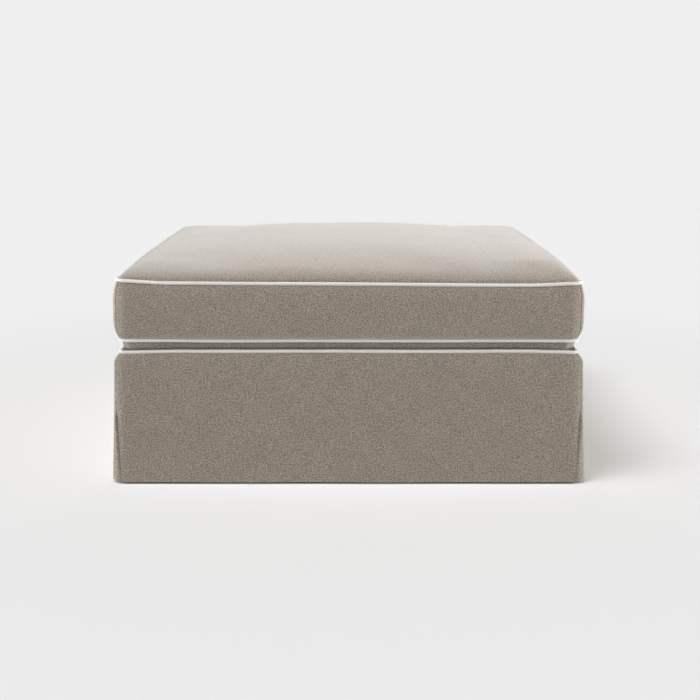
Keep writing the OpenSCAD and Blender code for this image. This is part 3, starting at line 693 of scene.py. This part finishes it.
def under_place(u, v):
    """A point of the bottom panel, pulled in and up at its corners."""
    u, v = dense(u), dense(v)
    x, y = panel_point(u, v, LOW_HALF - SEAT, SEAM_R - SEAT)
    inset = (1 - max(abs(u), abs(v))) * LOW_HALF
    drop = under_drop(inset)
    corner = near_corner(x, y, LOW_HALF, 0.03)
    pull = CORNER_PULL * corner * drop / UNDER_SAG
    x, y = x - math.copysign(pull, x), y - math.copysign(pull, y)
    z = LOW_Z - CLOTH / 2 - drop * (1 - CORNER_LIFT * corner)
    z += abs(gather(run_along(u, v, LOW_HALF), inset, 11.0)) * smooth(inset / GATHER_EASE)
    settled = settle_cushion(x, y, z)
    settled.z = z + (settled.z - z) * (1 - drop / UNDER_SAG)
    return settled


def panel_cut(half, r, fall=lambda inset: 0.0):
    """Places on the flat panel: fall says how much cloth its slope takes up beyond an inset."""
    def cut(u, v):
        u, v = dense(u), dense(v)
        inset = (1 - max(abs(u), abs(v))) * half
        return Vector(panel_point(u, v, half, r)) * (1 + fall(inset) / max(half - inset, 0.01))
    return cut


def top_fall(inset):
    """How much cloth the top's first roll takes up beyond an inset."""
    return CROWN_PUFF * (1 - inset / TOP_HALF) ** FRONT_POWER


def under_fall(inset):
    """How much cloth the bottom's roll takes up beyond an inset."""
    return UNDER_SAG - under_drop(inset)


def draw_in(h, power):
    """How far the boxing stands in from its widest, at a share h of its height."""
    edge = BULGE_HALF - (TOP_HALF if h > 0.5 else LOW_HALF)
    k = max(0.0, (abs(2 * h - 1) - 0.25) / 0.75)
    return (edge - CLOTH / 2) * k ** power


def boxing_point(side, t, h, inward=0.0):
    """A point of the boxing: t along its side from -1 to 1, h up it from 0 to 1."""
    seam_r = SEAM_R + BULGE_HALF - TOP_HALF
    to_seam = (1 - abs(t)) * (BULGE_HALF - seam_r * (1 - EIGHTH))
    z = LOW_Z + SEAT + h * (TOP_Z - LOW_Z - 2 * SEAT)
    edge = min(h, 1 - h) * (TOP_Z - LOW_Z)
    run = t * BULGE_HALF + 3.1 * side
    power = (HIGH_BOXING_POWER if h > 0.5 else LOW_BOXING_POWER) + BOXING_POWER_GAIN * smooth(to_seam / 0.15)
    inside = draw_in(h, power) + seam_groove(to_seam) + inward
    inside += abs(gather(run, edge, 21.0 + round(h), 0.0009)) * smooth(edge / SEAM_EASE)
    middle = smooth(min(h, 1 - h) * 4)
    inside += middle * SEAM_SLACK * (1 - wave(run, 0.0, z, 0.12))
    x, y = side_point(side, t, BULGE_HALF - inside, seam_r - inside)
    return settle_cushion(x, y, z)


def boxing_cut(side):
    """Places on a flat boxing strip, each side on a part of the cloth of its own."""
    return lambda u, v: Vector((dense(u, EDGE_SHARE) * BULGE_HALF + 1.3 * side, v * (TOP_Z - LOW_Z) / 2))


def cover_cloth(node, mesh, body, thickness=BACKED_CLOTH):
    """A piece of the slipcover, named after the node it stands for and backed to its thickness."""
    name = node.replace("_panel", "") + "_cloth"
    return give_thickness(finish_piece(name, mesh, body, "cover_fabric", cover, [node]), thickness)


def cushion_cloth(node, mesh, thickness=CLOTH):
    """A piece of the cushion's cover, stretched over the fibre."""
    cover_cloth(node, mesh, "cushion", thickness)


def make_cushion_cover():
    """The two crowned panels and the boxing round them."""
    panels = (
        ("top", 150, top_place, TOP_HALF - SEAT, top_fall, 0.03),
        ("bottom", 130, under_place, LOW_HALF - SEAT, under_fall, 0.02),
    )
    for name, lines, place, half, fall, taken_up in panels:
        mesh = cloth_mesh(lines, lines, place, panel_cut(half, SEAM_R - SEAT, fall), CUSHION_HEART)
        cushion_cloth(f"cushion_{name}_panel", mesh)
    for side, name in ((0, "front"), (1, "right"), (3, "left")):
        mesh = cloth_mesh(240, 28, lambda u, v: boxing_point(side, dense(u, EDGE_SHARE), (v + 1) / 2),
                          boxing_cut(side), CUSHION_HEART)
        cushion_cloth(f"boxing_{name}", mesh)


def slot_half(x):
    """Half the gap between the two back strips, which closes beyond the zip's ends."""
    closed = smooth((abs(x) - ZIP_HALF - ZIP_END) / SLOT_TAPER)
    return SLOT_CLOSED + (ZIP_SLOT / 2 - SLOT_CLOSED) * (1 - closed)


def strip_point(up, t, s):
    """A point of a back strip, which the zip holds straight: s runs from its folded edge to the seam."""
    x = side_point(2, t, BULGE_HALF, SEAM_R + BULGE_HALF - TOP_HALF)[0]
    edge = slot_half(x)
    half_height = (TOP_Z - LOW_Z) / 2 - SEAT
    if s < FOLD_SHARE:
        turn = s / FOLD_SHARE
        rise_z = edge + FOLD * (1 - math.cos(turn * QUARTER)) if turn > 0.5 else edge + FOLD * 0.3
        inward = FOLD * (1 - math.sin(turn * QUARTER)) if turn > 0.5 else CLOTH + FOLD * (1 - turn)
    else:
        rise_z = edge + FOLD + (half_height - edge - FOLD) * (s - FOLD_SHARE) / (1 - FOLD_SHARE)
        inward = 0.0
    rise_z = min(rise_z, half_height) * (1 if up else -1)
    place = boxing_point(2, t, 0.5 + rise_z / (2 * half_height), inward)
    held = smooth(1 - (abs(rise_z) - edge) / HELD_BAND) * smooth((BULGE_HALF - abs(x)) / HELD_END)
    place.z += (MID_Z + rise_z - place.z) * held
    return place


def make_back_strips():
    """The two strips of the back boxing, folded back along the zip."""
    for up, name in ((True, "upper"), (False, "lower")):
        mesh = cloth_mesh(220, 26, lambda u, v: strip_point(up, dense(u, ZIP_SHARE), (v + 1) / 2),
                          lambda u, v: Vector((dense(u, ZIP_SHARE) * BULGE_HALF + 2.6, (v + 1) * 0.03)),
                          CUSHION_HEART)
        cushion_cloth(f"boxing_back_{name}", mesh,
                      BACKED_CLOTH)


def make_piping():
    """Three rings of cord in pale bias cloth."""
    rings = (
        ("cushion_top_cord", "cushion_piping_top", TOP_HALF, SEAM_R, TOP_Z, settle_cushion, "cushion"),
        ("cushion_bottom_cord", "cushion_piping_bottom", LOW_HALF, SEAM_R, LOW_Z, settle_cushion, "cushion"),
        ("deck_cord", "deck_piping", DECK_HALF, DECK_R, DECK_CORD_Z, settle_base, "base"),
    )
    for name, node, half, r, z, settle, body in rings:
        mesh = cord_mesh(ring_points(half, r, z, settle), CORD_R)
        finish_piece(name, mesh, body, "piping_fabric", piping_cloth, [node])


# The base's slipcover

CORD_IN = BASE_HALF - DECK_HALF
SHOULDER_TOP = SHOULDER_H - 0.00275
BASE_HEART = Vector((0.0, 0.0, 0.15))
HEM_SHARE = 0.9
UNDERLAY_ROW = HEM_SHARE * 0.918
UNDERLAY_RUN = UNDERLAY_REACH + BASE_R * EIGHTH


def drop_out(z):
    """How far the skirt's straight drop stands out from the shoulder at a height."""
    return FLARE * (SHOULDER_Z - z) / (SHOULDER_Z - HEM_Z)


def skirt_profile():
    """The skirt's outer line from the piping to the turned hem, as outset and height."""
    line = []
    shoulder_rows, drop_rows = 14, 46
    for i in range(shoulder_rows):
        up = SHOULDER_TOP * (1 - i / shoulder_rows)
        line.append((-CORD_IN * (up / SHOULDER_H) ** SHOULDER_POWER, SHOULDER_Z + up))
    for i in range(drop_rows + 1):
        z = SHOULDER_Z + (HEM_Z + 0.001 - SHOULDER_Z) * i / drop_rows
        line.append((drop_out(z), z))
    for turn in (0.5, 1.0, 1.5, 2.0):
        back = HEM_TURN * (1 - math.cos(turn * QUARTER))
        up = HEM_TURN * (1 - math.sin(turn * QUARTER))
        line.append((drop_out(HEM_Z) - back, HEM_Z + up))
    for share in (0.15, 0.5, 1.0):
        z = HEM_Z + 0.001 + share * HEM_DEPTH
        line.append((drop_out(z) - HEM_IN, z))
    return line


def pleat_turn(outset, z):
    """The angle at which a skirt's edge stops before its corner: 45 degrees less the pleat's V."""
    share = max(0.0, 1 - (z - HEM_Z) / PLEAT_H)
    return EIGHTH - math.asin(min(0.95, PLEAT_OPEN * share / (BASE_R + outset)))


def skirt_point(side, t, outset, z):
    """A point of a skirt panel: t runs from one corner edge to the other."""
    straight = BASE_HALF - BASE_R
    r = BASE_R + outset
    run = abs(t) * (straight + BASE_R * pleat_turn(outset, z))
    to_edge = (1 - abs(t)) * straight
    above_pleat = smooth((z - HEM_Z - PLEAT_H + 0.01) / 0.02)
    r -= seam_groove(to_edge) * above_pleat
    r -= HEM_DENT * math.exp(-((z - HEM_Z - HEM_DEPTH) / HEM_DENT_W) ** 2)
    low = smooth((SHOULDER_Z - z) / 0.2)
    r += low * SKIRT_SLACK * wave(t * 0.48 + 2.7 * side, 0.0, z * 0.3, 0.16) - low * 0.0006
    r += 0.0010 * (1 - above_pleat) * smooth(1 - to_edge / 0.02)
    turn = max(0.0, run - straight) / BASE_R
    x = math.copysign(min(run, straight) + r * math.sin(turn), t)
    y = -straight - r * math.cos(turn)
    return settle_base(*to_side(side, x, y), z)


def profile_at(line, share):
    """The profile's outset and height at a share of its points."""
    at = share * (len(line) - 1)
    i = min(int(at), len(line) - 2)
    part = at - i
    return [line[i][k] + (line[i + 1][k] - line[i][k]) * part for k in (0, 1)]


SIDES = ("front", "right", "back", "left")
CORNERS = ("front_right", "back_right", "back_left", "front_left")


def make_skirts():
    """Four panels that hang from the deck piping to a turned hem."""
    line = skirt_profile()
    for side, name in enumerate(SIDES):
        mesh = cloth_mesh(
            240, len(line) - 1,
            lambda u, v: skirt_point(side, dense(u, EDGE_SHARE), *profile_at(line, (1 - v) / 2)),
            lambda u, v: Vector((dense(u, EDGE_SHARE) * BASE_HALF + 1.7 * side,
                                 profile_at(line, (1 - v) / 2)[1])),
            BASE_HEART)
        skirt = cover_cloth(f"skirt_{name}", mesh, "base")
        stitches = make_hem_stitches(side, name)


def make_hem_stitches(side, name):
    """The row of stitches that holds a skirt's hem."""
    z = HEM_Z + HEM_DEPTH
    spots = stitch_row(int(2 * BASE_HALF / STITCH_PITCH), 0.996,
                       lambda t: skirt_point(side, t, drop_out(z), z),
                       lambda t: skirt_point(side, t + 0.002, drop_out(z), z))
    return finish_piece(f"hem_stitches_{name}", thread_mesh(spots), "base", "cover_fabric", thread)


def pleat_swell(t, z):
    """How far an underlay swells out between the two edges of its pleat."""
    share = max(0.0, 1 - (z - HEM_Z) / PLEAT_H)
    turn = abs(t) * UNDERLAY_RUN / BASE_R
    open_to = math.asin(min(0.95, PLEAT_OPEN * share / BASE_R)) + 0.001
    return PLEAT_SWELL * smooth(share * 3) * max(0.0, 1 - (turn / open_to) ** 6)


def underlay_point(side, t, s, inset=0.0):
    """A point of a pleat underlay: t runs round the corner, s from its top to its hem."""
    top_z = FRAME_TOP - 0.002
    low_z = HEM_Z + UNDERLAY_UP
    turned = s > HEM_SHARE
    down = s / HEM_SHARE if not turned else 1 - (s - HEM_SHARE) / 0.1 * 0.085
    z = top_z + (low_z - top_z) * down
    out_top = -CLOTH - 0.0002 + drop_out(top_z)
    out_low = FLARE - 2 * CLOTH - 0.0008
    r = BASE_R + out_top + (out_low - out_top) * down - (0.0016 if turned else 0.0) - inset
    r += pleat_swell(t, z)
    r -= 0.0004 * math.exp(-((z - low_z - 0.018) / 0.0015) ** 2)
    straight = BASE_HALF - BASE_R
    run = t * UNDERLAY_RUN
    bend = max(-EIGHTH, min(EIGHTH, run / BASE_R)) + EIGHTH
    past = max(0.0, abs(run) - BASE_R * EIGHTH)
    x = straight + r * math.sin(bend) - (past if run < 0 else 0.0)
    y = -straight - r * math.cos(bend) + (past if run > 0 else 0.0)
    return settle_base(*to_side(side, x, y), z)


def make_underlays():
    """The flaps behind the corner pleats, each with its own hem."""
    for side, name in enumerate(CORNERS):
        mesh = cloth_mesh(140, 44, lambda u, v: underlay_point(side, u, (1 - v) / 2),
                          lambda u, v: Vector((u * 0.07 + 0.9 * side, v * 0.115)), BASE_HEART)
        flap = cover_cloth(f"pleat_underlay_{name}", mesh, "base")
        spots = stitch_row(28, 1, lambda t: underlay_point(side, t, UNDERLAY_ROW, -0.0002),
                           lambda t: underlay_point(side, t + 0.01, UNDERLAY_ROW))
        rows = finish_piece(f"underlay_stitches_{name}", thread_mesh(spots), "base", "cover_fabric", thread)


def deck_place(u, v):
    """A point of the deck cloth."""
    u, v = dense(u), dense(v)
    x, y = panel_point(u, v, DECK_HALF - SEAT, DECK_R - SEAT)
    z = DECK_Z - 0.0004 + 0.0004 * wave(x, y, 9.0, 0.1)
    return settle_base(x, y, z)


def make_deck():
    """The cloth that the cushion lies on."""
    mesh = cloth_mesh(80, 80, deck_place, panel_cut(DECK_HALF - SEAT, DECK_R - SEAT), BASE_HEART)
    cover_cloth("deck_panel", mesh, "base")


# The underside and the parts inside

DUST_EDGE = BOARD_HALF - 0.003
DUST_NOTCH = FRAME_HALF - (high_of("foot_front_right").x - low_of("foot_front_right").x) - 0.003
NOTCH_SHARE = 0.86


def dust_line(u):
    """Moves a grid line of the dust cover so that two of them lie on the notch's edges."""
    size = abs(u)
    if size <= NOTCH_SHARE:
        return math.copysign(DUST_NOTCH * size / NOTCH_SHARE, u)
    return math.copysign(DUST_NOTCH + (DUST_EDGE - DUST_NOTCH) * (size - NOTCH_SHARE) / (1 - NOTCH_SHARE), u)


def dust_place(u, v):
    """A point of the dust cover, which hangs a little in its two bays."""
    x, y = dust_line(u), dust_line(v)
    inner = FRAME_HALF - 0.03
    bay = abs(x) / inner
    sag = 0.0
    if bay < 1 and abs(y) < inner:
        sag = 0.004 * math.sin(math.pi * bay) * math.cos(y / inner * QUARTER)
    sag += 0.0004 * wave(x, y, 4.0, 0.05) * smooth((inner - max(abs(x), abs(y))) / 0.05)
    return Vector((x, y, FRAME_LOW - 0.0008 - sag))


def make_dust_cover():
    """Thin black cloth stapled under the rails, cut back round the feet."""
    mesh = bmesh.new()
    bmesh.ops.create_grid(mesh, x_segments=100, y_segments=100, size=1.0)
    notch = [f for f in mesh.faces
             if min(abs(f.calc_center_median().x), abs(f.calc_center_median().y)) > NOTCH_SHARE]
    bmesh.ops.delete(mesh, geom=notch, context="FACES")
    for vert in mesh.verts:
        vert.co = dust_place(vert.co.x, vert.co.y)
    face_outwards(mesh, UP)
    cloth = finish_piece("dust_cover_cloth", mesh, "base", "black_cloth", black_cloth, ["dust_cover"])
    give_thickness(cloth, 0.0006)


def cut_corners(mesh, half):
    """Cuts a slab near its four corners, so that they can sink without the rest."""
    for axis in (Vector((1, 0, 0)), Vector((0, 1, 0))):
        for back in (-EAR_REACH, -0.045, -0.02, 0.02, 0.045, EAR_REACH):
            place = axis * (math.copysign(half, back) - back)
            parts = list(mesh.verts) + list(mesh.edges) + list(mesh.faces)
            bmesh.ops.bisect_plane(mesh, geom=parts, dist=1e-5, plane_co=place, plane_no=axis)


def soft_copy(node, name, body, slot, material, ease, ripple, settle):
    """A soft piece made over its CAD solid: edges eased and faces a little uneven, never outwards."""
    mesh = eased_copy(node, ease, EASE_PAST)
    if settle is settle_base:
        cut_corners(mesh, DECK_HALF)
    bmesh.ops.triangulate(mesh, faces=[f for f in mesh.faces if len(f.verts) > 4])
    mesh.normal_update()
    for vert in mesh.verts:
        p = vert.co
        vert.co = p - vert.normal * ripple * (0.75 + 0.25 * wave(p.x, p.y, p.z, 0.05))
        if settle:
            vert.co = settle(*vert.co)
    return finish_piece(name, mesh, body, slot, material, [node])


def settle_fibre(x, y, z):
    """Takes the fibre along with the worn cover, which rolls more softly than it was sewn."""
    across, deep = min(1.0, abs(x) / TOP_HALF), min(1.0, abs(y) / TOP_HALF)
    dome = rise(across, deep, DOME_POWER)
    sewn = SEWN_PUFF * rise(across, deep, SEWN_POWER) + (CROWN_DOME + CROWN_PUFF - SEWN_PUFF) * dome
    worn = CROWN_PUFF * roll(x, y) + CROWN_DOME * dome
    lift = settle_cushion(x, y, z).z - z - max(0.0, sewn - worn)
    return Vector((x, y, z + lift * smooth((z - MID_Z) / 0.05)))


def make_fillings():
    """Foam, fibre and wadding, which the covers hide."""
    pads = (
        ("deck_foam", "deck_foam_pad", "base", "foam", foam, 0.0, 0.0004, settle_base, 0.9),
        ("foam_core", "cushion_foam_core", "cushion", "foam", foam, 0.004, 0.0005, None, 0.9),
        ("fibre_wrap", "cushion_fibre", "cushion", "fibre", fibre, 0.0, 0.0022, settle_fibre, 0.7),
        ("side_wadding", "side_wadding_layer", "base", "fibre", fibre, 0.002, 0.0008, None, 0.4),
    )
    for *piece, fill in pads:
        soft_copy(*piece)
    low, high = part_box("insulator_sheet")
    size = high - low
    mesh = cloth_mesh(60, 60,
                      lambda u, v: Vector((u * size.x / 2, v * size.y / 2,
                                           high.z - 0.0004 * (1 + wave(u, v, 3.0, 0.1)))),
                      lambda u, v: Vector((u * size.x / 2, v * size.y / 2)), BASE_HEART)
    sheet = finish_piece("insulator_felt_sheet", mesh, "base", "insulator_felt", felt, ["insulator_sheet"])
    give_thickness(sheet, size.z - 0.001)


def make_feet():
    """Feet and glides with eased edges."""
    for corner in CORNERS:
        hard_piece(f"foot_block_{corner}", f"foot_{corner}", 0.0008, "base", "timber", timber_z)
    hard_piece("glide_discs", "foot_glides", 0.0009, "base", "glide_plastic", glide_nylon, angle=0.9)


# The zip

def make_zip():
    """Woven tapes, moulded teeth that mesh from the two sides, and a metal slider."""
    low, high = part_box("zip_tapes")
    height = (high.z - low.z) / 2
    for up, name in ((1, "upper"), (-1, "lower")):
        mesh = cloth_mesh(
            160, 10,
            lambda u, v: Vector((u * high.x, high.y - 0.0001 * math.cos(u * 900),
                                 MID_Z + up * (0.0004 + (v + 1) / 2 * (height - 0.0004)))),
            lambda u, v: Vector((u * high.x, v * height / 2)), CUSHION_HEART)
        tape = finish_piece(f"zip_tape_{name}", mesh, "cushion", "zip_tape", zip_tape, ["zip_tapes"])
        give_thickness(tape, 0.0007)
    mesh = bmesh.new()
    count = int(2 * ZIP_HALF / TEETH_PITCH)
    for i in range(2 * count):
        up = 1 if i % 2 == 0 else -1
        add_tooth(mesh, -ZIP_HALF + (i + 0.5) * TEETH_PITCH / 2, up)
    for end in (-1, 1):
        for vert in bmesh.ops.create_cube(mesh, size=1.0)["verts"]:
            vert.co = Vector((end * (ZIP_HALF + ZIP_END / 2) + vert.co.x * ZIP_END,
                              ZIP_FACE + 0.0013 + vert.co.y * 0.0026, MID_Z + vert.co.z * 0.0062))
    bmesh.ops.recalc_face_normals(mesh, faces=mesh.faces)
    finish_piece("zip_teeth_moulded", mesh, "cushion", "zip_plastic", zip_plastic, ["zip_teeth"],
                 smooth_faces=False)
    hard_piece("zip_slider_body", "zip_slider", 0.00025, "zip_slider", "steel", zip_metal)
    hard_piece("zip_pull_tab", "zip_pull", 0.0002, "zip_pull", "steel", zip_metal)


def add_tooth(mesh, x, up):
    """One moulded tooth: a narrow body on its tape and a wider head past the middle."""
    for vert in bmesh.ops.create_cube(mesh, size=1.0)["verts"]:
        head = vert.co.z * up < 0
        width = 0.00135 if head else 0.0011
        z = MID_Z + up * (-0.0009 if head else 0.0024)
        vert.co = Vector((x + vert.co.x * width, ZIP_FACE + TOOTH_T * (vert.co.y + 0.5), z))


def make_zip_stitches():
    """Two rows of stitches that hold the folded strips to the zip's tapes."""
    spots = []
    for up in (True, False):
        spots += stitch_row(int(2 * ZIP_HALF / STITCH_PITCH), ZIP_HALF / BULGE_HALF,
                            lambda t: strip_point(up, t, ZIP_ROW),
                            lambda t: strip_point(up, t + 0.003, ZIP_ROW), Vector((0, 1, 0)))
    finish_piece("zip_stitches", thread_mesh(spots), "cushion", "cover_fabric", thread)


def dress_hard_parts():
    """Gives the carried-over CAD nodes their finishes."""
    finishes = (
        (timber_x, "timber", [f"{level}_rail_{s}" for level in ("top", "bottom") for s in ("front", "back")]),
        (timber_y, "timber", [f"{level}_rail_{s}" for level in ("top", "bottom") for s in ("left", "right")]
         + ["centre_stretcher"]),
        (timber_z, "timber", [f"corner_post_{c}" for c in CORNERS]),
        (fibreboard, "board", [f"side_board_{s}" for s in SIDES]),
        (steel, "steel", ["frame_screws", "foot_screws", "dust_cover_staples", "spring_clips"]),
        (spring_steel, "steel",
         [f"spring_{place}" for place in ("far_left", "left", "centre", "right", "far_right")]),
    )
    for material, slot, names in finishes:
        for name in names:
            nodes[name].data.materials.clear()
            nodes[name].data.materials.append(material)


# The studio

BACKGROUND = linear(239, 239, 239)
FLOOR_TONE = 0.55
# How strongly the floor glows white for rays other than the camera's: painted bounce light that lights the
# object from below.
FLOOR_BOUNCE = 0.66
SHADOW_SHARE = 0.72
# How much darker the floor's colour is painted near the object, as painted shade that offsets the light the
# object throws onto it.
FLOOR_NEAR_SHADE = 0.872
# The floor's colour right under the hem, as a share of its colour in the open: painted shade.
UNDER_HEM_SHADE = 0.3
AMBIENT = 0.15
EYE = (0.0029, -2.8605, 0.7805)
EYE_DOWN = 11.82
LENS, SENSOR = 61.46, 36.0


def seen_directly(kit):
    """1 for rays that show the background: from the camera, in gloss and through glass."""
    path = kit.add("LightPath").outputs
    both = kit.math("MAXIMUM", path["Is Camera Ray"], path["Is Glossy Ray"])
    return kit.math("MAXIMUM", both, path["Is Transmission Ray"])


def make_floor(light):
    """A pale floor as bright as the backdrop that keeps part of the shadow; its colour is painted dark under
    the hem and a little darker near the object, and it glows with painted bounce light for rays other than
    the camera's.
    """
    mesh = bmesh.new()
    bmesh.ops.create_grid(mesh, x_segments=2, y_segments=2, size=12.0)
    material = bpy.data.materials.new("studio floor")
    material.use_nodes = True
    material.node_tree.nodes.clear()
    kit = Tree(material.node_tree)
    seen = seen_directly(kit)
    shown, hem_r = BACKGROUND[0] / light, BASE_R + FLARE
    matt = kit.made("BsdfDiffuse", {"Color": (FLOOR_TONE,) * 3 + (1.0,)})
    place = kit.add("TexCoord").outputs["Object"]
    parts = kit.parts(place)
    past = [kit.math("MAXIMUM", kit.math("SUBTRACT", kit.math("ABSOLUTE", parts[i]), BASE_HALF - BASE_R), 0.0)
            for i in (0, 1)]
    square = [kit.product(side, side) for side in past]
    out = kit.math("SQRT", kit.plus(*square))
    # Mask of the painted shade under the skirt: 0 under it, where the floor's colour is darkened and its glow
    # and bounce glow are cut off, and 1 in the open from just inside the hem.
    outside_hem_shade = kit.span(out, hem_r - 0.008, hem_r - 0.003)
    away = kit.add("VectorMath", {0: place}, operation="LENGTH").outputs["Value"]
    # Painted bounce light: for all rays but the camera's the floor glows white, except under the skirt.
    bounce = kit.product(outside_hem_shade, FLOOR_BOUNCE)
    bounce_glow = kit.made("Emission", {"Color": (1, 1, 1, 1), "Strength": bounce})
    plain = kit.made("AddShader", {0: matt, 1: bounce_glow})
    # Painted shade in the floor's colour: dark under the hem, and a little darker near the object.
    tone = kit.product(kit.span(outside_hem_shade, 0.0, 1.0, UNDER_HEM_SHADE * shown, shown),
                       kit.span(away, 0.7, 2.0, FLOOR_NEAR_SHADE, 1.0))
    lit = kit.made("BsdfDiffuse", {"Color": tone})
    glow = kit.made("Emission", {"Color": BACKGROUND, "Strength": outside_hem_shade})
    camera_look = kit.made("MixShader", {0: SHADOW_SHARE, 1: glow, 2: lit})
    look = kit.made("MixShader", {0: seen, 1: plain, 2: camera_look})
    clear = kit.made("BsdfTransparent")
    faded = kit.made("MixShader", {0: kit.span(away, 3.0, 7.0), 1: look, 2: clear})
    kit.add("OutputMaterial", {0: faded})
    floor = mesh_object("studio_floor", mesh, material)
    return floor


def make_sun(name, toward, strength, spread, unlit=None):
    """A soft lamp whose light comes from a direction, over a wide angle in degrees."""
    lamp = bpy.data.lights.new(name, "SUN")
    lamp.energy = strength * math.pi
    lamp.angle = math.radians(spread)
    holder = add_object(name, lamp)
    holder.rotation_mode = "QUATERNION"
    holder.rotation_quaternion = Vector(toward).to_track_quat("Z", "Y")
    if unlit:
        holder.light_linking.receiver_collection = unlit
    return strength * Vector(toward).normalized().z


def make_studio():
    """A white room: boxes round the object, and a soft key from the upper left that casts the shadow."""
    world = bpy.data.worlds.new("studio")
    bpy.context.scene.world = world
    world.use_nodes = True
    world.node_tree.nodes.clear()
    kit = Tree(world.node_tree)
    seen = seen_directly(kit)
    around = kit.made("Background", {"Color": (1, 1, 1, 1), "Strength": AMBIENT})
    behind = kit.made("Background", {"Color": BACKGROUND, "Strength": 1.0})
    both = kit.made("MixShader", {0: seen, 1: around, 2: behind})
    kit.add("OutputWorld", {0: both})
    key = make_sun("key", (-0.52, -0.32, 1.1), 0.40, 30)
    floor = make_floor(AMBIENT + key)
    no_floor = bpy.data.collections.new("lit without the floor")
    no_floor.objects.link(floor)
    for held in no_floor.collection_objects:
        held.light_linking.link_state = "EXCLUDE"
    make_sun("overhead", (0.0, 0.55, 1.0), 0.58, 60, no_floor)
    make_sun("back wall", (0.0, 1.0, 0.12), 0.17, 90, no_floor)
    make_sun("right box", (1.0, -0.14, 0.0), 2.15, 36, no_floor)
    make_sun("left box", (-1.0, -0.14, 0.06), 1.55, 36, no_floor)


def make_camera():
    """The photograph's eye, above the cushion and tipped down a little."""
    lens = bpy.data.cameras.new("camera")
    lens.sensor_width = SENSOR
    lens.lens = LENS
    camera = add_object("camera", lens)
    camera.location = EYE
    camera.rotation_euler = (math.radians(90 - EYE_DOWN), 0.0, 0.0)
    bpy.context.scene.camera = camera


make_camera()
make_cushion_cover()
make_back_strips()
make_piping()
make_skirts()
make_underlays()
make_deck()
make_dust_cover()
make_fillings()
make_feet()
make_zip()
make_zip_stitches()
dress_hard_parts()
make_studio()

scene = bpy.context.scene
scene.view_settings.view_transform = "Standard"
